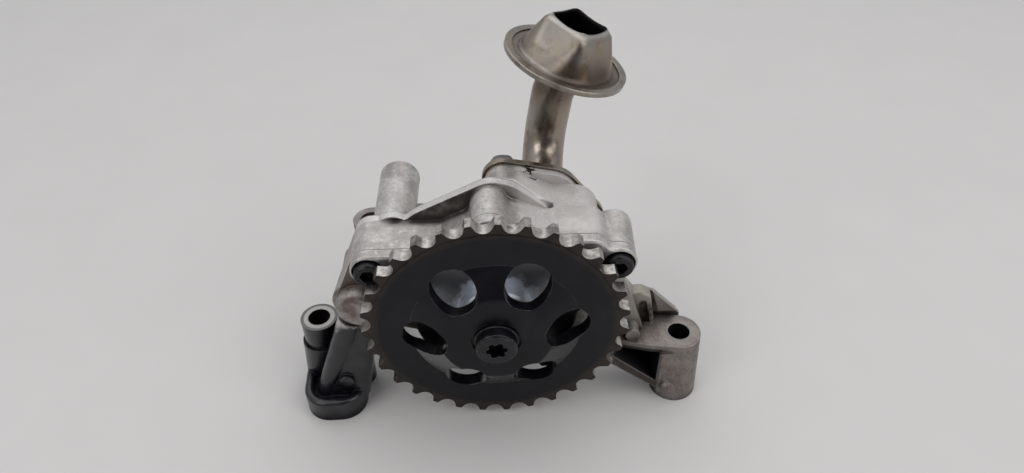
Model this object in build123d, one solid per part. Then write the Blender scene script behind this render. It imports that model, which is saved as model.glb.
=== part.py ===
from build123d import *
import math
import os

# Engine oil pump, gerotor type, driven by a chain. Millimetres.
# Origin: on the pump shaft's axis, in the middle plane of the sprocket teeth (the chain line).
# +X to the right seen from the sprocket side, +Y along the shaft into the pump, +Z up.
# The pump stands on its two mounting feet and its rear bolt column, as it does on a bench.

# ---- chain drive ----
CHAIN_PITCH = 9.525
ROLLER_DIAMETER = 6.35
TOOTH_COUNT = 31
TOOTH_WIDTH = 4.8
TOOTH_TIP_CLEARANCE = 0.45      # how far the tips stand above the pitch circle
TOOTH_MOUTH_WIDTH = 7.7         # width of a tooth gap at the tips
TOOTH_PHASE = 47.4              # angle of one tooth gap, degrees from +X
RIM_STEP = 0.35                 # the rim's front face stands this far proud of the teeth
RIM_STEP_RADIUS = 43.2
DISH_RADIUS = 30.3              # where the dished web leaves the flat rim
DISH_HEIGHT = 6.0               # how far the hub face stands in front of the rim
HUB_FACE_RADIUS = 19.4
WEB_THICKNESS = 4.0
WEB_HOLE_COUNT = 6
WEB_HOLE_DIAMETER = 16.2
WEB_HOLE_CIRCLE_RADIUS = 25.3
WEB_HOLE_PHASE = 3.6
HUB_BOSS_RADIUS = 11.0          # boss on the back of the sprocket
SPOTFACE_RADIUS = 8.8
SPOTFACE_DEPTH = 1.0
HUB_SEAT_WALL = 2.0             # hub wall clamped between the bolt's collar and the shaft

# ---- shaft and its bolt ----
SHAFT_DIAMETER = 14.0
SHAFT_FLAT_WIDTH = 11.0         # across the two flats that drive the sprocket
BOLT_THREAD_DIAMETER = 8.0
BOLT_LENGTH = 22.0
BOLT_HEAD_DIAMETER = 14.6
BOLT_HEAD_HEIGHT = 4.4
BOLT_COLLAR_DIAMETER = 15.4
BOLT_COLLAR_THICKNESS = 1.3
BOLT_SOCKET_DIAMETER = 7.8
BOLT_SOCKET_DEPTH = 3.6

# ---- pump body stack, positions along the shaft ----
COVER_FRONT_Y = 5.6
COVER_THICKNESS = 4.5
ROTOR_WIDTH = 14.9
ROTOR_END_CLEARANCE = 0.05
FLANGE_THICKNESS = 3.5          # the wall that closes the rotor chamber
BODY_RADIUS = 30.5              # upper part of the body's round outline
BODY_CENTRE_Z = 3.0
BODY_WALL = 3.6                 # wall round the rotor chamber
BODY_EDGE_CHAMFER = 0.8
INNER_CORNER_RADIUS = 4.0       # where two arms of the outline meet
FLANGE_REACH = 1.0              # how far the flange stands out past the rotor ring
PORT_BULGE_RADIUS = 26.0        # back of the housing, over the two ports
PORT_BULGE_HEIGHT = 10.5
PORT_BULGE_CHAMFER = 3.0
PORT_DEPTH = 11.0
PORT_INNER_RADIUS = 14.2
PORT_OUTER_RADIUS = 21.2
PORT_LAND = 7.5                 # half the sealing land between the two ports
PORT_CORNER_RADIUS = 2.5
PASSAGE_RADIUS = 4.5
BEYOND = 400.0                  # longer than any piece, for what a cut takes away whole

# ---- bearing bores ----
BUSH_WALL = 1.5
RUNNING_CLEARANCE = 0.04
FRONT_BOSS_RADIUS = 14.0
FRONT_BOSS_HEIGHT = 5.0
REAR_BOSS_RADIUS = 12.5
REAR_BOSS_HEIGHT = 11.0
REAR_BOSS_END_WALL = 4.0
MOVING_GAP = 0.3                # between moving and fixed faces

# ---- gerotor set ----
INNER_LOBES = 6
ECCENTRICITY = 2.6
LOBE_RADIUS = 6.6               # round lobes of the outer rotor
LOBE_CIRCLE_RADIUS = 23.1
ROTOR_GAP = 0.12
OUTER_ROTOR_RADIUS = 26.0
CHAMBER_CLEARANCE = 0.08

# ---- screw lugs around the body: (x, z) ----
SIDE_LUG_X = 43.0
SIDE_LUG_Z = 21.3
TOP_LUG_X = -1.2
TOP_LUG_Z = 35.6
LUG_RADIUS = 6.6
LUG_TAPER = 0.9                 # the right lug widens towards the back
SCREW_DIAMETER = 6.0
SCREW_HOLE_CLEARANCE = 0.3
SCREW_HEAD_DIAMETER = 10.0
SCREW_HEAD_HEIGHT = 4.0
SCREW_SOCKET_FLATS = 5.0
SCREW_SOCKET_DEPTH = 3.0
SCREW_SEAT_DEPTH = 2.6          # counterbore in the cover's lugs
SCREW_SEAT_DIAMETER = 11.6
SCREW_LENGTH = 18.0
WASHER_THICKNESS = 1.0
WASHER_DIAMETER = 11.0
DOWEL_DIAMETER = 5.0
DOWEL_LENGTH = 10.0
DOWEL_CIRCLE_RADIUS = 31.5
DOWEL_SETBACK = 0.4
DOWEL_ANGLES = (40.0, 160.0)

# ---- discs that round off the body's outline: x, z, radius ----
RIGHT_ARM_DISC = (14.0, 12.0, 15.6)
LEFT_ARM_DISC = (-14.0, 12.0, 15.6)
TOP_ARM_DISC = (-1.2, 22.0, 8.1)
SADDLE_DISCS = ((4.0, 31.0, 6.0), (14.0, 26.5, 6.2), (24.8, 22.0, 6.0))
FLANGE_ARM_DISC = (-14.0, 12.0, 16.0)
FLANGE_CREST_DISCS = ((-21.0, 20.0, 12.5), (-0.2, 35.0, 8.3), (3.5, 34.6, 7.8), (12.0, 25.3, 9.4))

# ---- inlet block at the upper right ----
BLOCK_LEFT_X = 21.8
BLOCK_RIGHT_X = 40.3            # in front of the parting step; narrower behind it
BLOCK_TOP_Z = 32.0
BLOCK_CORNER_RADIUS = 7.0
BLOCK_STEP = 1.2                # how much narrower the block is behind the rotor housing
BLOCK_BEHIND_FLANGE = 9.8
BLOCK_BEVEL_RISE = 9.0          # sloping face between the block's top and the inlet boss
BLOCK_BEVEL_SLOPE = 1.8         # run of that face for each millimetre of rise
REAR_BODY_END_Y = 41.1
INLET_X = 19.7
INLET_Z = 23.5
INLET_BOSS_RADIUS = 13.0
INLET_BOSS_TAPER = 3.6
INLET_BORE_DIAMETER = 14.0
INLET_DUCT_FOOT = (17.5, 6.0, 3.6)
PICKUP_EAR_SPACING_X = 15.4
PICKUP_EAR_SPACING_Z = 9.5
PICKUP_EAR_RADIUS = 6.8
PICKUP_SCREW_DIAMETER = 6.0
HEX_HEAD_FLATS = 10.0
HEX_HEAD_HEIGHT = 5.6
HEX_COLLAR_DIAMETER = 12.4

# ---- pickup pipe and strainer ----
PICKUP_FLANGE_THICKNESS = 3.0
PICKUP_TUBE_DIAMETER = 16.0
PICKUP_TUBE_WALL = 1.2
PICKUP_SPIGOT_LENGTH = 6.0      # length of tube inside the housing
SEAL_SECTION_RADIUS = 0.85
SEAL_GROOVE_DEPTH = 1.9
PICKUP_BEND_RADIUS = 19.0
PICKUP_END_RUN = 9.0            # straight tube below the strainer
WELD_BEAD_RADIUS = 1.7
PICKUP_REACH_Y = 67.6
STRAINER_X = 28.5
STRAINER_Z = 66.6
STRAINER_TILT = 18.0
STRAINER_BRIM_RADIUS = 23.5
STRAINER_BRIM_LIP = 2.6          # width of the edge rolled over the crown's foot ring
STRAINER_SHEET = 0.6
STRAINER_CROWN_RADIUS = 17.6
STRAINER_CROWN_HEIGHT = 16.5
STRAINER_MOUTH_WIDTH = 17.5
STRAINER_MOUTH_LIP = 1.6         # the mouth's edge is turned inwards
STRAINER_BEVEL_HEIGHT = 2.4
STRAINER_BEVEL_SLOPE = 0.9
STRAINER_DISH_DEPTH = 5.0
MOUTH_DIP = 1.3                 # the mouth's sides dip between its four corners
MOUTH_DIP_RADIUS = 30.0
SCREEN_THICKNESS = 0.6
SCREEN_HOLE = 3.0
SCREEN_PITCH = 4.2

# ---- relief valve ----
VALVE_X = -36.0
VALVE_Z = 21.7
VALVE_BARREL_RADIUS = 7.7
VALVE_END_Y = 60.5
VALVE_BORE_DIAMETER = 10.0
VALVE_PIN_SETBACK = 3.6
VALVE_PIN_DIAMETER = 3.0
PISTON_LENGTH = 12.0
PISTON_WALL = 1.3
PISTON_CROWN = 3.0
PISTON_SEAT_Y = 33.0
PLUG_LENGTH = 3.0
SPRING_WIRE = 1.1
SPRING_SIDE_GAP = 0.15
SPRING_TURNS = 7
VALVE_SEAT_LEDGE = 1.5
VALVE_THROAT_LENGTH = 4.8
VALVE_FEED_RADIUS = 2.2
SPILL_HOLE_RADIUS = 1.7
SPILL_HOLE_OFFSET = 3.5         # from the valve's axis, towards the body
SPILL_HOLE_OPENS = 2.8          # travel behind the seat

# ---- mounting feet ----
BASE_Z = -50.0
MOUNT_BORE_DIAMETER = 8.4
COLUMN_RADIUS = 7.15
LEFT_FOOT_X = -68.6
LEFT_FOOT_Y = 21.3
LEFT_FOOT_TOP_Z = -16.0
RIGHT_FOOT_X = 71.0
RIGHT_FOOT_Y = 12.7
RIGHT_FOOT_TOP_Z = -22.0
RIGHT_FOOT_RADIUS = 8.5
REAR_FOOT_X = -47.8
REAR_FOOT_Y = 48.8
REAR_FOOT_TOP_Z = 10.0
OUTLET_X = -61.5
OUTLET_Y = 9.5
OUTLET_PORT_DIAMETER = 10.0
OUTLET_PORT_DEPTH = 9.0
LEFT_RING_HEIGHT = 10.0         # machined ring at the top of the left column
LEFT_PAD_HEIGHT = 7.5
LEFT_LIP_HEIGHT = 2.5
WEB_PLATE = 3.5                 # plates and webs of the right foot
RIGHT_ARM_OUTLINE = ((42.4, -28.5), (17.0, -29.5))
RIGHT_WING_OUTLINE = (
    (26.0, 8.0),
    (45.5, 16.0),
    (47.8, 6.0),
    (49.6, 1.4),
    (56.3, -18.4),
    (57.5, -23.0),
    (36.0, -23.0),
    (26.0, -12.0),
)
BUTTRESS_OUTLINE = (
    (40.0, 2.0),
    (49.0, 0.0),
    (52.9, -5.6),
    (56.0, -5.4),
    (59.6, -7.6),
    (62.0, -20.0),
    (62.0, -23.0),
    (40.0, -23.0),
)
GUSSET_OUTLINE = ((60.6, -7.4), (71.4, -18.6), (63.9, -18.6))
BACKING_OUTLINE = ((58.0, -8.0), (61.4, -9.6), (73.2, -22.4), (73.2, -25.0), (58.0, -25.0))
GALLERY_X = -49.0
GALLERY_Z = 3.0
GALLERY_RADIUS = 8.3
GALLERY_FRONT_Y = 4.6
GALLERY_SWELL = 1.5
GALLERY_NOSE_RADIUS = 3.0
GALLERY_SKIRT_DISC = (-18.0, -2.0, 14.0)
CROSS_BOSS_RADIUS = 7.5
CROSS_BOSS_END_X = -14.0
CROSS_PASSAGE_END_X = -17.5

# ---- positions that follow ----
PITCH_RADIUS = CHAIN_PITCH / (2 * math.sin(math.pi / TOOTH_COUNT))
TIP_RADIUS = PITCH_RADIUS + TOOTH_TIP_CLEARANCE
RIM_FRONT_Y = -TOOTH_WIDTH / 2
HUB_FACE_Y = RIM_FRONT_Y - DISH_HEIGHT
COVER_BACK_Y = COVER_FRONT_Y + COVER_THICKNESS
HOUSING_BACK_Y = COVER_BACK_Y + ROTOR_WIDTH + 2 * ROTOR_END_CLEARANCE
FLANGE_BACK_Y = HOUSING_BACK_Y + FLANGE_THICKNESS
BUSH_RADIUS = SHAFT_DIAMETER / 2 + BUSH_WALL
LUGS = ((-SIDE_LUG_X, SIDE_LUG_Z), (TOP_LUG_X, TOP_LUG_Z), (SIDE_LUG_X, SIDE_LUG_Z))
CHAMBER_RADIUS = OUTER_ROTOR_RADIUS + CHAMBER_CLEARANCE
SCREW_HOLE_RADIUS = SCREW_DIAMETER / 2 + SCREW_HOLE_CLEARANCE
SHAFT_END_Y = HUB_FACE_Y + SPOTFACE_DEPTH + HUB_SEAT_WALL
SHAFT_SHOULDER_Y = COVER_FRONT_Y - FRONT_BOSS_HEIGHT - MOVING_GAP
SHAFT_BACK_Y = FLANGE_BACK_Y + REAR_BOSS_HEIGHT - REAR_BOSS_END_WALL
BLOCK_BACK_Y = FLANGE_BACK_Y + BLOCK_BEHIND_FLANGE
BLOCK_REAR_TOP_Z = BLOCK_TOP_Z - BLOCK_STEP / 4
INLET_BOSS_FRONT_Y = FLANGE_BACK_Y + INLET_BOSS_TAPER
CROSS_PASSAGE_Y = FLANGE_BACK_Y + PASSAGE_RADIUS
VALVE_FEED_Y = PISTON_SEAT_Y - VALVE_THROAT_LENGTH / 2


def across_shaft(y):
    """Plane square to the shaft, so that a sketch is drawn in X (right) and Z (up)."""
    return Plane((0, y, 0), x_dir=(1, 0, 0), z_dir=(0, -1, 0))


def along_y(sketch, y_from, y_to):
    """Extrude a sketch drawn in X and Z along the shaft direction."""
    return extrude(across_shaft(y_to) * sketch, y_to - y_from)


def y_rod(x, z, radius, y_from, y_to):
    """A round bar parallel to the shaft."""
    return along_y(Pos(x, z) * Circle(radius), y_from, y_to)


def z_rod(x, y, radius, z_from, z_to):
    """An upright round bar."""
    return extrude(Plane((x, y, z_from)) * Circle(radius), z_to - z_from)


def x_rod(y, z, radius, x_from, x_to):
    """A round bar across the pump."""
    return extrude(Plane((x_from, y, z), z_dir=(1, 0, 0)) * Circle(radius), x_to - x_from)


def hull(*discs):
    """Taut outline around discs given as (x, y, radius)."""
    edges = ShapeList()
    for x, y, radius in discs:
        edges += (Pos(x, y) * Circle(radius)).edges()
    return make_hull(edges)


def xz_face(*points):
    """Polygon drawn in X and Z."""
    return make_face(Polyline(*points, close=True))


def rounded_inside(sketch, radius):
    """Fill the sketch's inner corners with an arc of the given radius."""
    return offset(offset(sketch, radius), -radius)


# ---------------------------------------------------------------- chain drive


def tooth_gap():
    """One gap between teeth, its roller seat centred on the pitch circle on the +X axis."""
    seat = ROLLER_DIAMETER / 2
    mouth = TOOTH_MOUTH_WIDTH / 2
    lift = math.radians(35)
    seat_x = PITCH_RADIUS - seat * math.sin(lift)
    seat_z = seat * math.cos(lift)
    beyond = TIP_RADIUS + 2
    with BuildSketch() as gap:
        with BuildLine():
            seat_arc = ThreePointArc(
                (seat_x, -seat_z), (PITCH_RADIUS - seat, 0), (seat_x, seat_z)
            )
            upper = Line(seat_arc @ 1, (TIP_RADIUS, mouth))
            out = Line(upper @ 1, (beyond, mouth + 1))
            across = Line(out @ 1, (beyond, -mouth - 1))
            back = Line(across @ 1, (TIP_RADIUS, -mouth))
            Line(back @ 1, seat_arc @ 0)
        make_face()
    return gap.sketch


def chain_sprocket():
    """Sintered sprocket: toothed rim, dished web with six windows, hub with a two-flat bore."""
    teeth = Circle(TIP_RADIUS)
    for index in range(TOOTH_COUNT):
        teeth -= Rot(0, 0, TOOTH_PHASE + index * 360 / TOOTH_COUNT) * tooth_gap()
    body = along_y(teeth, -TOOTH_WIDTH / 2, TOOTH_WIDTH / 2)
    body += y_rod(0, 0, RIM_STEP_RADIUS, RIM_FRONT_Y - RIM_STEP, 0)

    web_back = TOOTH_WIDTH / 2
    rim_face = RIM_FRONT_Y - RIM_STEP
    hub_back = HUB_FACE_Y + WEB_THICKNESS
    back_radius = DISH_RADIUS + 1.0
    with BuildSketch(Plane.XY) as section:
        with BuildLine():
            Polyline(
                (0, rim_face - DISH_HEIGHT + RIM_STEP),
                (HUB_FACE_RADIUS, HUB_FACE_Y),
                (DISH_RADIUS, rim_face),
                (back_radius, rim_face),
                (back_radius, web_back),
                (DISH_RADIUS - 1.5, web_back),
                (HUB_FACE_RADIUS - 1.0, hub_back),
                (0, hub_back),
                close=True,
            )
        make_face()
        corner = section.vertices().filter_by_position(
            Axis.X, HUB_FACE_RADIUS - 1.5, HUB_FACE_RADIUS + 0.5
        )
        fillet(corner, 3.0)
    web = revolve(section.sketch, Axis.Y)
    body -= y_rod(0, 0, back_radius, -TOOTH_WIDTH, TOOTH_WIDTH)
    body += web
    body += y_rod(0, 0, HUB_BOSS_RADIUS, hub_back - 1, SHAFT_SHOULDER_Y)
    for index in range(WEB_HOLE_COUNT):
        angle = math.radians(WEB_HOLE_PHASE + index * 360 / WEB_HOLE_COUNT)
        x = WEB_HOLE_CIRCLE_RADIUS * math.cos(angle)
        z = WEB_HOLE_CIRCLE_RADIUS * math.sin(angle)
        body -= y_rod(x, z, WEB_HOLE_DIAMETER / 2, 2 * HUB_FACE_Y, TOOTH_WIDTH)
    body -= y_rod(0, 0, SPOTFACE_RADIUS, 2 * HUB_FACE_Y, HUB_FACE_Y + SPOTFACE_DEPTH)
    body -= y_rod(0, 0, BOLT_THREAD_DIAMETER / 2 + 0.3, HUB_FACE_Y, COVER_FRONT_Y)
    flats = shaft_end_section(RUNNING_CLEARANCE)
    body -= along_y(flats, SHAFT_END_Y, COVER_FRONT_Y)
    return body


def shaft_end_section(clearance):
    """Round section with two flats, where the sprocket sits on the shaft."""
    circle = Circle(SHAFT_DIAMETER / 2 + clearance)
    return circle & Rectangle(SHAFT_FLAT_WIDTH + 2 * clearance, SHAFT_DIAMETER + 1)


def drive_shaft():
    """Ground shaft: two flats at the sprocket end, tapped hole, plain journals."""
    shaft = y_rod(0, 0, SHAFT_DIAMETER / 2, SHAFT_SHOULDER_Y, SHAFT_BACK_Y)
    shaft = chamfer(shaft.faces().sort_by(Axis.Y)[-1].edges(), 0.8)
    shaft += along_y(shaft_end_section(0), SHAFT_END_Y, SHAFT_SHOULDER_Y)
    hole_end = SHAFT_END_Y + BOLT_LENGTH
    return shaft - y_rod(0, 0, BOLT_THREAD_DIAMETER / 2 + RUNNING_CLEARANCE, SHAFT_END_Y, hole_end)


def six_lobe(outer_diameter):
    """Six-lobe socket outline."""
    root = outer_diameter * 0.36
    lobe = outer_diameter * 0.14
    sketch = Circle(root)
    for index in range(6):
        sketch += Rot(0, 0, 60 * index) * Pos(outer_diameter / 2 - lobe, 0) * Circle(lobe)
    return rounded_inside(sketch, outer_diameter * 0.09)


def sprocket_bolt():
    """Collared cap bolt with a six-lobe socket that holds the sprocket on the shaft."""
    seat = HUB_FACE_Y + SPOTFACE_DEPTH
    collar_front = seat - BOLT_COLLAR_THICKNESS
    head_front = collar_front - BOLT_HEAD_HEIGHT
    head = y_rod(0, 0, BOLT_HEAD_DIAMETER / 2, head_front, collar_front)
    head = chamfer(head.faces().sort_by(Axis.Y)[0].edges(), 0.7)
    bolt = head + y_rod(0, 0, BOLT_COLLAR_DIAMETER / 2, collar_front, seat)
    bolt += y_rod(0, 0, BOLT_THREAD_DIAMETER / 2, seat, seat + BOLT_LENGTH)
    socket = Rot(0, 0, 8) * six_lobe(BOLT_SOCKET_DIAMETER)
    return bolt - along_y(socket, head_front, head_front + BOLT_SOCKET_DEPTH)


# ---------------------------------------------------------------- gerotor set


def trochoid_point(parameter, lobe_radius):
    """Point of the inner rotor's profile: the inner envelope of the outer rotor's round lobes."""
    outer = INNER_LOBES + 1
    lean = math.atan2(
        math.sin((1 - outer) * parameter),
        LOBE_CIRCLE_RADIUS / (ECCENTRICITY * outer) - math.cos((1 - outer) * parameter),
    )
    x = (
        LOBE_CIRCLE_RADIUS * math.cos(parameter)
        - lobe_radius * math.cos(parameter + lean)
        - ECCENTRICITY * math.cos(outer * parameter)
    )
    z = (
        -LOBE_CIRCLE_RADIUS * math.sin(parameter)
        + lobe_radius * math.sin(parameter + lean)
        + ECCENTRICITY * math.sin(outer * parameter)
    )
    return x, z


def inner_rotor():
    """Lobed inner rotor, a smooth closed spline through its trochoid, with a bore for the shaft."""
    steps = INNER_LOBES * 16
    points = []
    for step in range(steps):
        even = 2 * math.pi * step / steps
        # closer steps in the valleys, where the profile runs fastest
        parameter = even - 0.9 * math.sin(INNER_LOBES * even) / INNER_LOBES
        points.append(trochoid_point(parameter, LOBE_RADIUS + ROTOR_GAP))
    outline = make_face(Spline(*points, periodic=True))
    section = Rot(0, 0, 90) * outline - Circle(SHAFT_DIAMETER / 2)
    front = COVER_BACK_Y + ROTOR_END_CLEARANCE
    return along_y(section, front, front + ROTOR_WIDTH)


def outer_rotor():
    """Outer ring with one more lobe than the inner rotor, on an axis below the shaft's."""
    lobes = INNER_LOBES + 1
    root_radius = LOBE_CIRCLE_RADIUS - LOBE_RADIUS + 2 * ECCENTRICITY + ROTOR_GAP
    cavity = Circle(root_radius)
    for index in range(lobes):
        turn = Rot(0, 0, 90 + index * 360 / lobes)
        cavity -= turn * Pos(LOBE_CIRCLE_RADIUS, 0) * Circle(LOBE_RADIUS)
    section = Pos(0, -ECCENTRICITY) * (Circle(OUTER_ROTOR_RADIUS) - cavity)
    front = COVER_BACK_Y + ROTOR_END_CLEARANCE
    return along_y(section, front, front + ROTOR_WIDTH)


def bush(y_from, y_to):
    """Steel-backed plain bearing bush."""
    ring = Circle(BUSH_RADIUS) - Circle(SHAFT_DIAMETER / 2 + RUNNING_CLEARANCE)
    return along_y(ring, y_from, y_to)


def front_bush():
    """Bush in the cover's boss."""
    return bush(COVER_FRONT_Y - FRONT_BOSS_HEIGHT, COVER_BACK_Y)


def rear_bush():
    """Bush in the back wall of the housing."""
    return bush(HOUSING_BACK_Y, SHAFT_BACK_Y)


# ---------------------------------------------------------------- casing


def body_outline():
    """Outline shared by the front cover and the rotor housing, seen from the sprocket."""
    outline = hull(
        (0, BODY_CENTRE_Z, BODY_RADIUS), (0, -ECCENTRICITY, CHAMBER_RADIUS + BODY_WALL)
    )
    outline += hull((-SIDE_LUG_X, SIDE_LUG_Z, LUG_RADIUS), LEFT_ARM_DISC)
    outline += hull((SIDE_LUG_X, SIDE_LUG_Z, LUG_RADIUS), RIGHT_ARM_DISC)
    outline += hull((TOP_LUG_X, TOP_LUG_Z, LUG_RADIUS), TOP_ARM_DISC)
    outline += inlet_block_outline(BLOCK_RIGHT_X, BLOCK_TOP_Z, BLOCK_CORNER_RADIUS)
    outline += hull(*SADDLE_DISCS)
    return rounded_inside(outline, INNER_CORNER_RADIUS)


def inlet_block_outline(right_x, top_z, corner_radius):
    """Flat-topped block beside the top lug, round at its upper right corner."""
    width = right_x - BLOCK_LEFT_X
    block = Pos(BLOCK_LEFT_X + width / 2, top_z / 2) * Rectangle(width, top_z)
    corner = block.vertices().sort_by(Axis.Y)[-2:].sort_by(Axis.X)[-1]
    return fillet(corner, corner_radius)


def screw_holes(radius, y_from, y_to):
    """Round bars on the three lugs' axes."""
    return [y_rod(x, z, radius, y_from, y_to) for x, z in LUGS]


def dowel_places():
    """Centres of the two dowels, as x and z."""
    places = []
    for angle in DOWEL_ANGLES:
        x = DOWEL_CIRCLE_RADIUS * math.cos(math.radians(angle))
        z = DOWEL_CIRCLE_RADIUS * math.sin(math.radians(angle))
        places.append((x, z))
    return places


def front_cover():
    """Thin cover plate with three counterbored lugs and the front bearing boss."""
    cover = along_y(body_outline(), COVER_FRONT_Y, COVER_BACK_Y)
    cover = chamfer(cover.faces().sort_by(Axis.Y)[0].edges(), BODY_EDGE_CHAMFER)
    boss_front = COVER_FRONT_Y - FRONT_BOSS_HEIGHT
    boss = y_rod(0, 0, FRONT_BOSS_RADIUS, boss_front, COVER_FRONT_Y + 1)
    cover += chamfer(boss.faces().sort_by(Axis.Y)[0].edges(), 1.0)
    cover -= y_rod(0, 0, BUSH_RADIUS, boss_front, COVER_BACK_Y)
    cover -= screw_holes(SCREW_HOLE_RADIUS, COVER_FRONT_Y, COVER_BACK_Y)
    cover -= screw_holes(SCREW_SEAT_DIAMETER / 2, 0, COVER_FRONT_Y + SCREW_SEAT_DEPTH)
    for x, z in dowel_places():
        cover -= y_rod(x, z, DOWEL_DIAMETER / 2, COVER_FRONT_Y, COVER_BACK_Y)
    return cover


def cover_screws():
    """Three low-head socket cap screws."""
    seat = COVER_FRONT_Y + SCREW_SEAT_DEPTH - WASHER_THICKNESS
    head_front = seat - SCREW_HEAD_HEIGHT
    screws = []
    for x, z in LUGS:
        head = y_rod(x, z, SCREW_HEAD_DIAMETER / 2, head_front, seat)
        head = chamfer(head.faces().sort_by(Axis.Y)[0].edges(), 0.6)
        head += y_rod(x, z, SCREW_DIAMETER / 2, seat, seat + SCREW_LENGTH)
        socket = Pos(x, z) * RegularPolygon(SCREW_SOCKET_FLATS / 2, 6, major_radius=False)
        screws.append(head - along_y(socket, head_front, head_front + SCREW_SOCKET_DEPTH))
    return Compound(screws)


def cover_washers():
    """Three plain washers under the screw heads."""
    back = COVER_FRONT_Y + SCREW_SEAT_DEPTH
    ring = Circle(WASHER_DIAMETER / 2) - Circle(SCREW_HOLE_RADIUS)
    return Compound(
        [along_y(Pos(x, z) * ring, back - WASHER_THICKNESS, back) for x, z in LUGS]
    )


def cover_dowels():
    """Two dowel pins that line the cover up with the housing."""
    front = COVER_FRONT_Y + DOWEL_SETBACK
    pins = []
    for x, z in dowel_places():
        pin = y_rod(x, z, DOWEL_DIAMETER / 2, front, front + DOWEL_LENGTH)
        pins.append(chamfer(pin.faces().filter_by(GeomType.PLANE).edges(), 0.4))
    return Compound(pins)


def flange_outline():
    """Outline of the housing's back wall, which runs out past the rotor ring as a flange."""
    outline = hull(
        (0, BODY_CENTRE_Z, BODY_RADIUS + FLANGE_REACH),
        (0, -ECCENTRICITY, CHAMBER_RADIUS + BODY_WALL + FLANGE_REACH),
    )
    outline += hull((-SIDE_LUG_X, SIDE_LUG_Z, LUG_RADIUS), FLANGE_ARM_DISC)
    outline += hull(*FLANGE_CREST_DISCS)
    return rounded_inside(outline, INNER_CORNER_RADIUS)


def inlet_boss_outline(growth):
    """Lozenge round the inlet bore and its two screw ears."""
    ears = pickup_ears()
    return hull(
        (ears[0][0], ears[0][1], PICKUP_EAR_RADIUS + growth),
        (INLET_X, INLET_Z, INLET_BOSS_RADIUS + growth),
        (ears[1][0], ears[1][1], PICKUP_EAR_RADIUS + growth),
    )


def pickup_ears():
    """Centres of the pickup's two screws, as x and z."""
    dx = PICKUP_EAR_SPACING_X
    dz = PICKUP_EAR_SPACING_Z
    return ((INLET_X - dx, INLET_Z + dz), (INLET_X + dx, INLET_Z - dz))


def rod_between(start, end, radius_start, radius_end):
    """Round bar from one point to another, tapering from the first radius to the second."""
    direction = Vector(*end) - Vector(*start)
    lower = Plane(start, z_dir=direction) * Circle(radius_start)
    upper = Plane(end, z_dir=direction) * Circle(radius_end)
    return loft([lower, upper])


def upright_cone(foot, top):
    """Column between two level circles, each given as (x, y, z, radius)."""
    circles = [Plane((x, y, z)) * Circle(radius) for x, y, z, radius in (foot, top)]
    return loft(circles)


def upright_prism(outline, z_from, z_to):
    """Extrude a sketch drawn in X and Y upwards."""
    return extrude(Plane((0, 0, z_from)) * outline, z_to - z_from)


def housing_core():
    """Rotor ring with lugs, back wall, inlet block, inlet boss and rear bearing boss."""
    core = along_y(body_outline(), COVER_BACK_Y, HOUSING_BACK_Y)
    core += along_y(flange_outline(), HOUSING_BACK_Y, FLANGE_BACK_Y)
    rear_block = inlet_block_outline(
        BLOCK_RIGHT_X - BLOCK_STEP, BLOCK_REAR_TOP_Z, BLOCK_CORNER_RADIUS + 2 * BLOCK_STEP
    )
    core += along_y(rear_block, HOUSING_BACK_Y, BLOCK_BACK_Y)
    lug_front = (SIDE_LUG_X, COVER_BACK_Y, SIDE_LUG_Z)
    lug_back = (SIDE_LUG_X, FLANGE_BACK_Y - 2, SIDE_LUG_Z)
    core += rod_between(lug_front, lug_back, LUG_RADIUS, LUG_RADIUS + LUG_TAPER)
    boss = along_y(inlet_boss_outline(0), INLET_BOSS_FRONT_Y, REAR_BODY_END_Y)
    narrow = across_shaft(FLANGE_BACK_Y - 1) * inlet_boss_outline(-INLET_BOSS_TAPER)
    boss += loft([narrow, across_shaft(INLET_BOSS_FRONT_Y) * inlet_boss_outline(0)])
    bevel_run = BLOCK_BEVEL_SLOPE * BLOCK_BEVEL_RISE
    room = xz_face(
        (BLOCK_LEFT_X, BLOCK_REAR_TOP_Z),
        (BLOCK_RIGHT_X, BLOCK_REAR_TOP_Z),
        (BLOCK_RIGHT_X, BLOCK_REAR_TOP_Z + BLOCK_BEVEL_RISE),
        (BLOCK_LEFT_X - bevel_run, BLOCK_REAR_TOP_Z + BLOCK_BEVEL_RISE),
    )
    core += boss - along_y(room, FLANGE_BACK_Y - 2, BLOCK_BACK_Y)
    bulge = y_rod(0, 0, PORT_BULGE_RADIUS, FLANGE_BACK_Y - 1, FLANGE_BACK_Y + PORT_BULGE_HEIGHT)
    core += chamfer(bulge.faces().sort_by(Axis.Y)[-1].edges(), PORT_BULGE_CHAMFER)
    core += y_rod(0, 0, REAR_BOSS_RADIUS, FLANGE_BACK_Y, FLANGE_BACK_Y + REAR_BOSS_HEIGHT)
    return core


def valve_barrel():
    """Barrel of the relief valve with its feed boss and stiffening rib."""
    barrel = y_rod(VALVE_X, VALVE_Z, VALVE_BARREL_RADIUS, HOUSING_BACK_Y, VALVE_END_Y)
    barrel = chamfer(barrel.faces().sort_by(Axis.Y)[-1].edges(), 0.6)
    barrel += y_rod(VALVE_X + 9, VALVE_Z - 4, 3.5, HOUSING_BACK_Y, VALVE_END_Y - 17)
    rib = hull((VALVE_X, VALVE_Z, 4.5), (GALLERY_X + 2, GALLERY_Z, 4.0))
    barrel += along_y(rib, HOUSING_BACK_Y, VALVE_END_Y - 16)
    barrel += z_rod(VALVE_X, VALVE_FEED_Y, 4.5, GALLERY_Z, VALVE_Z)
    return barrel


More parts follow.
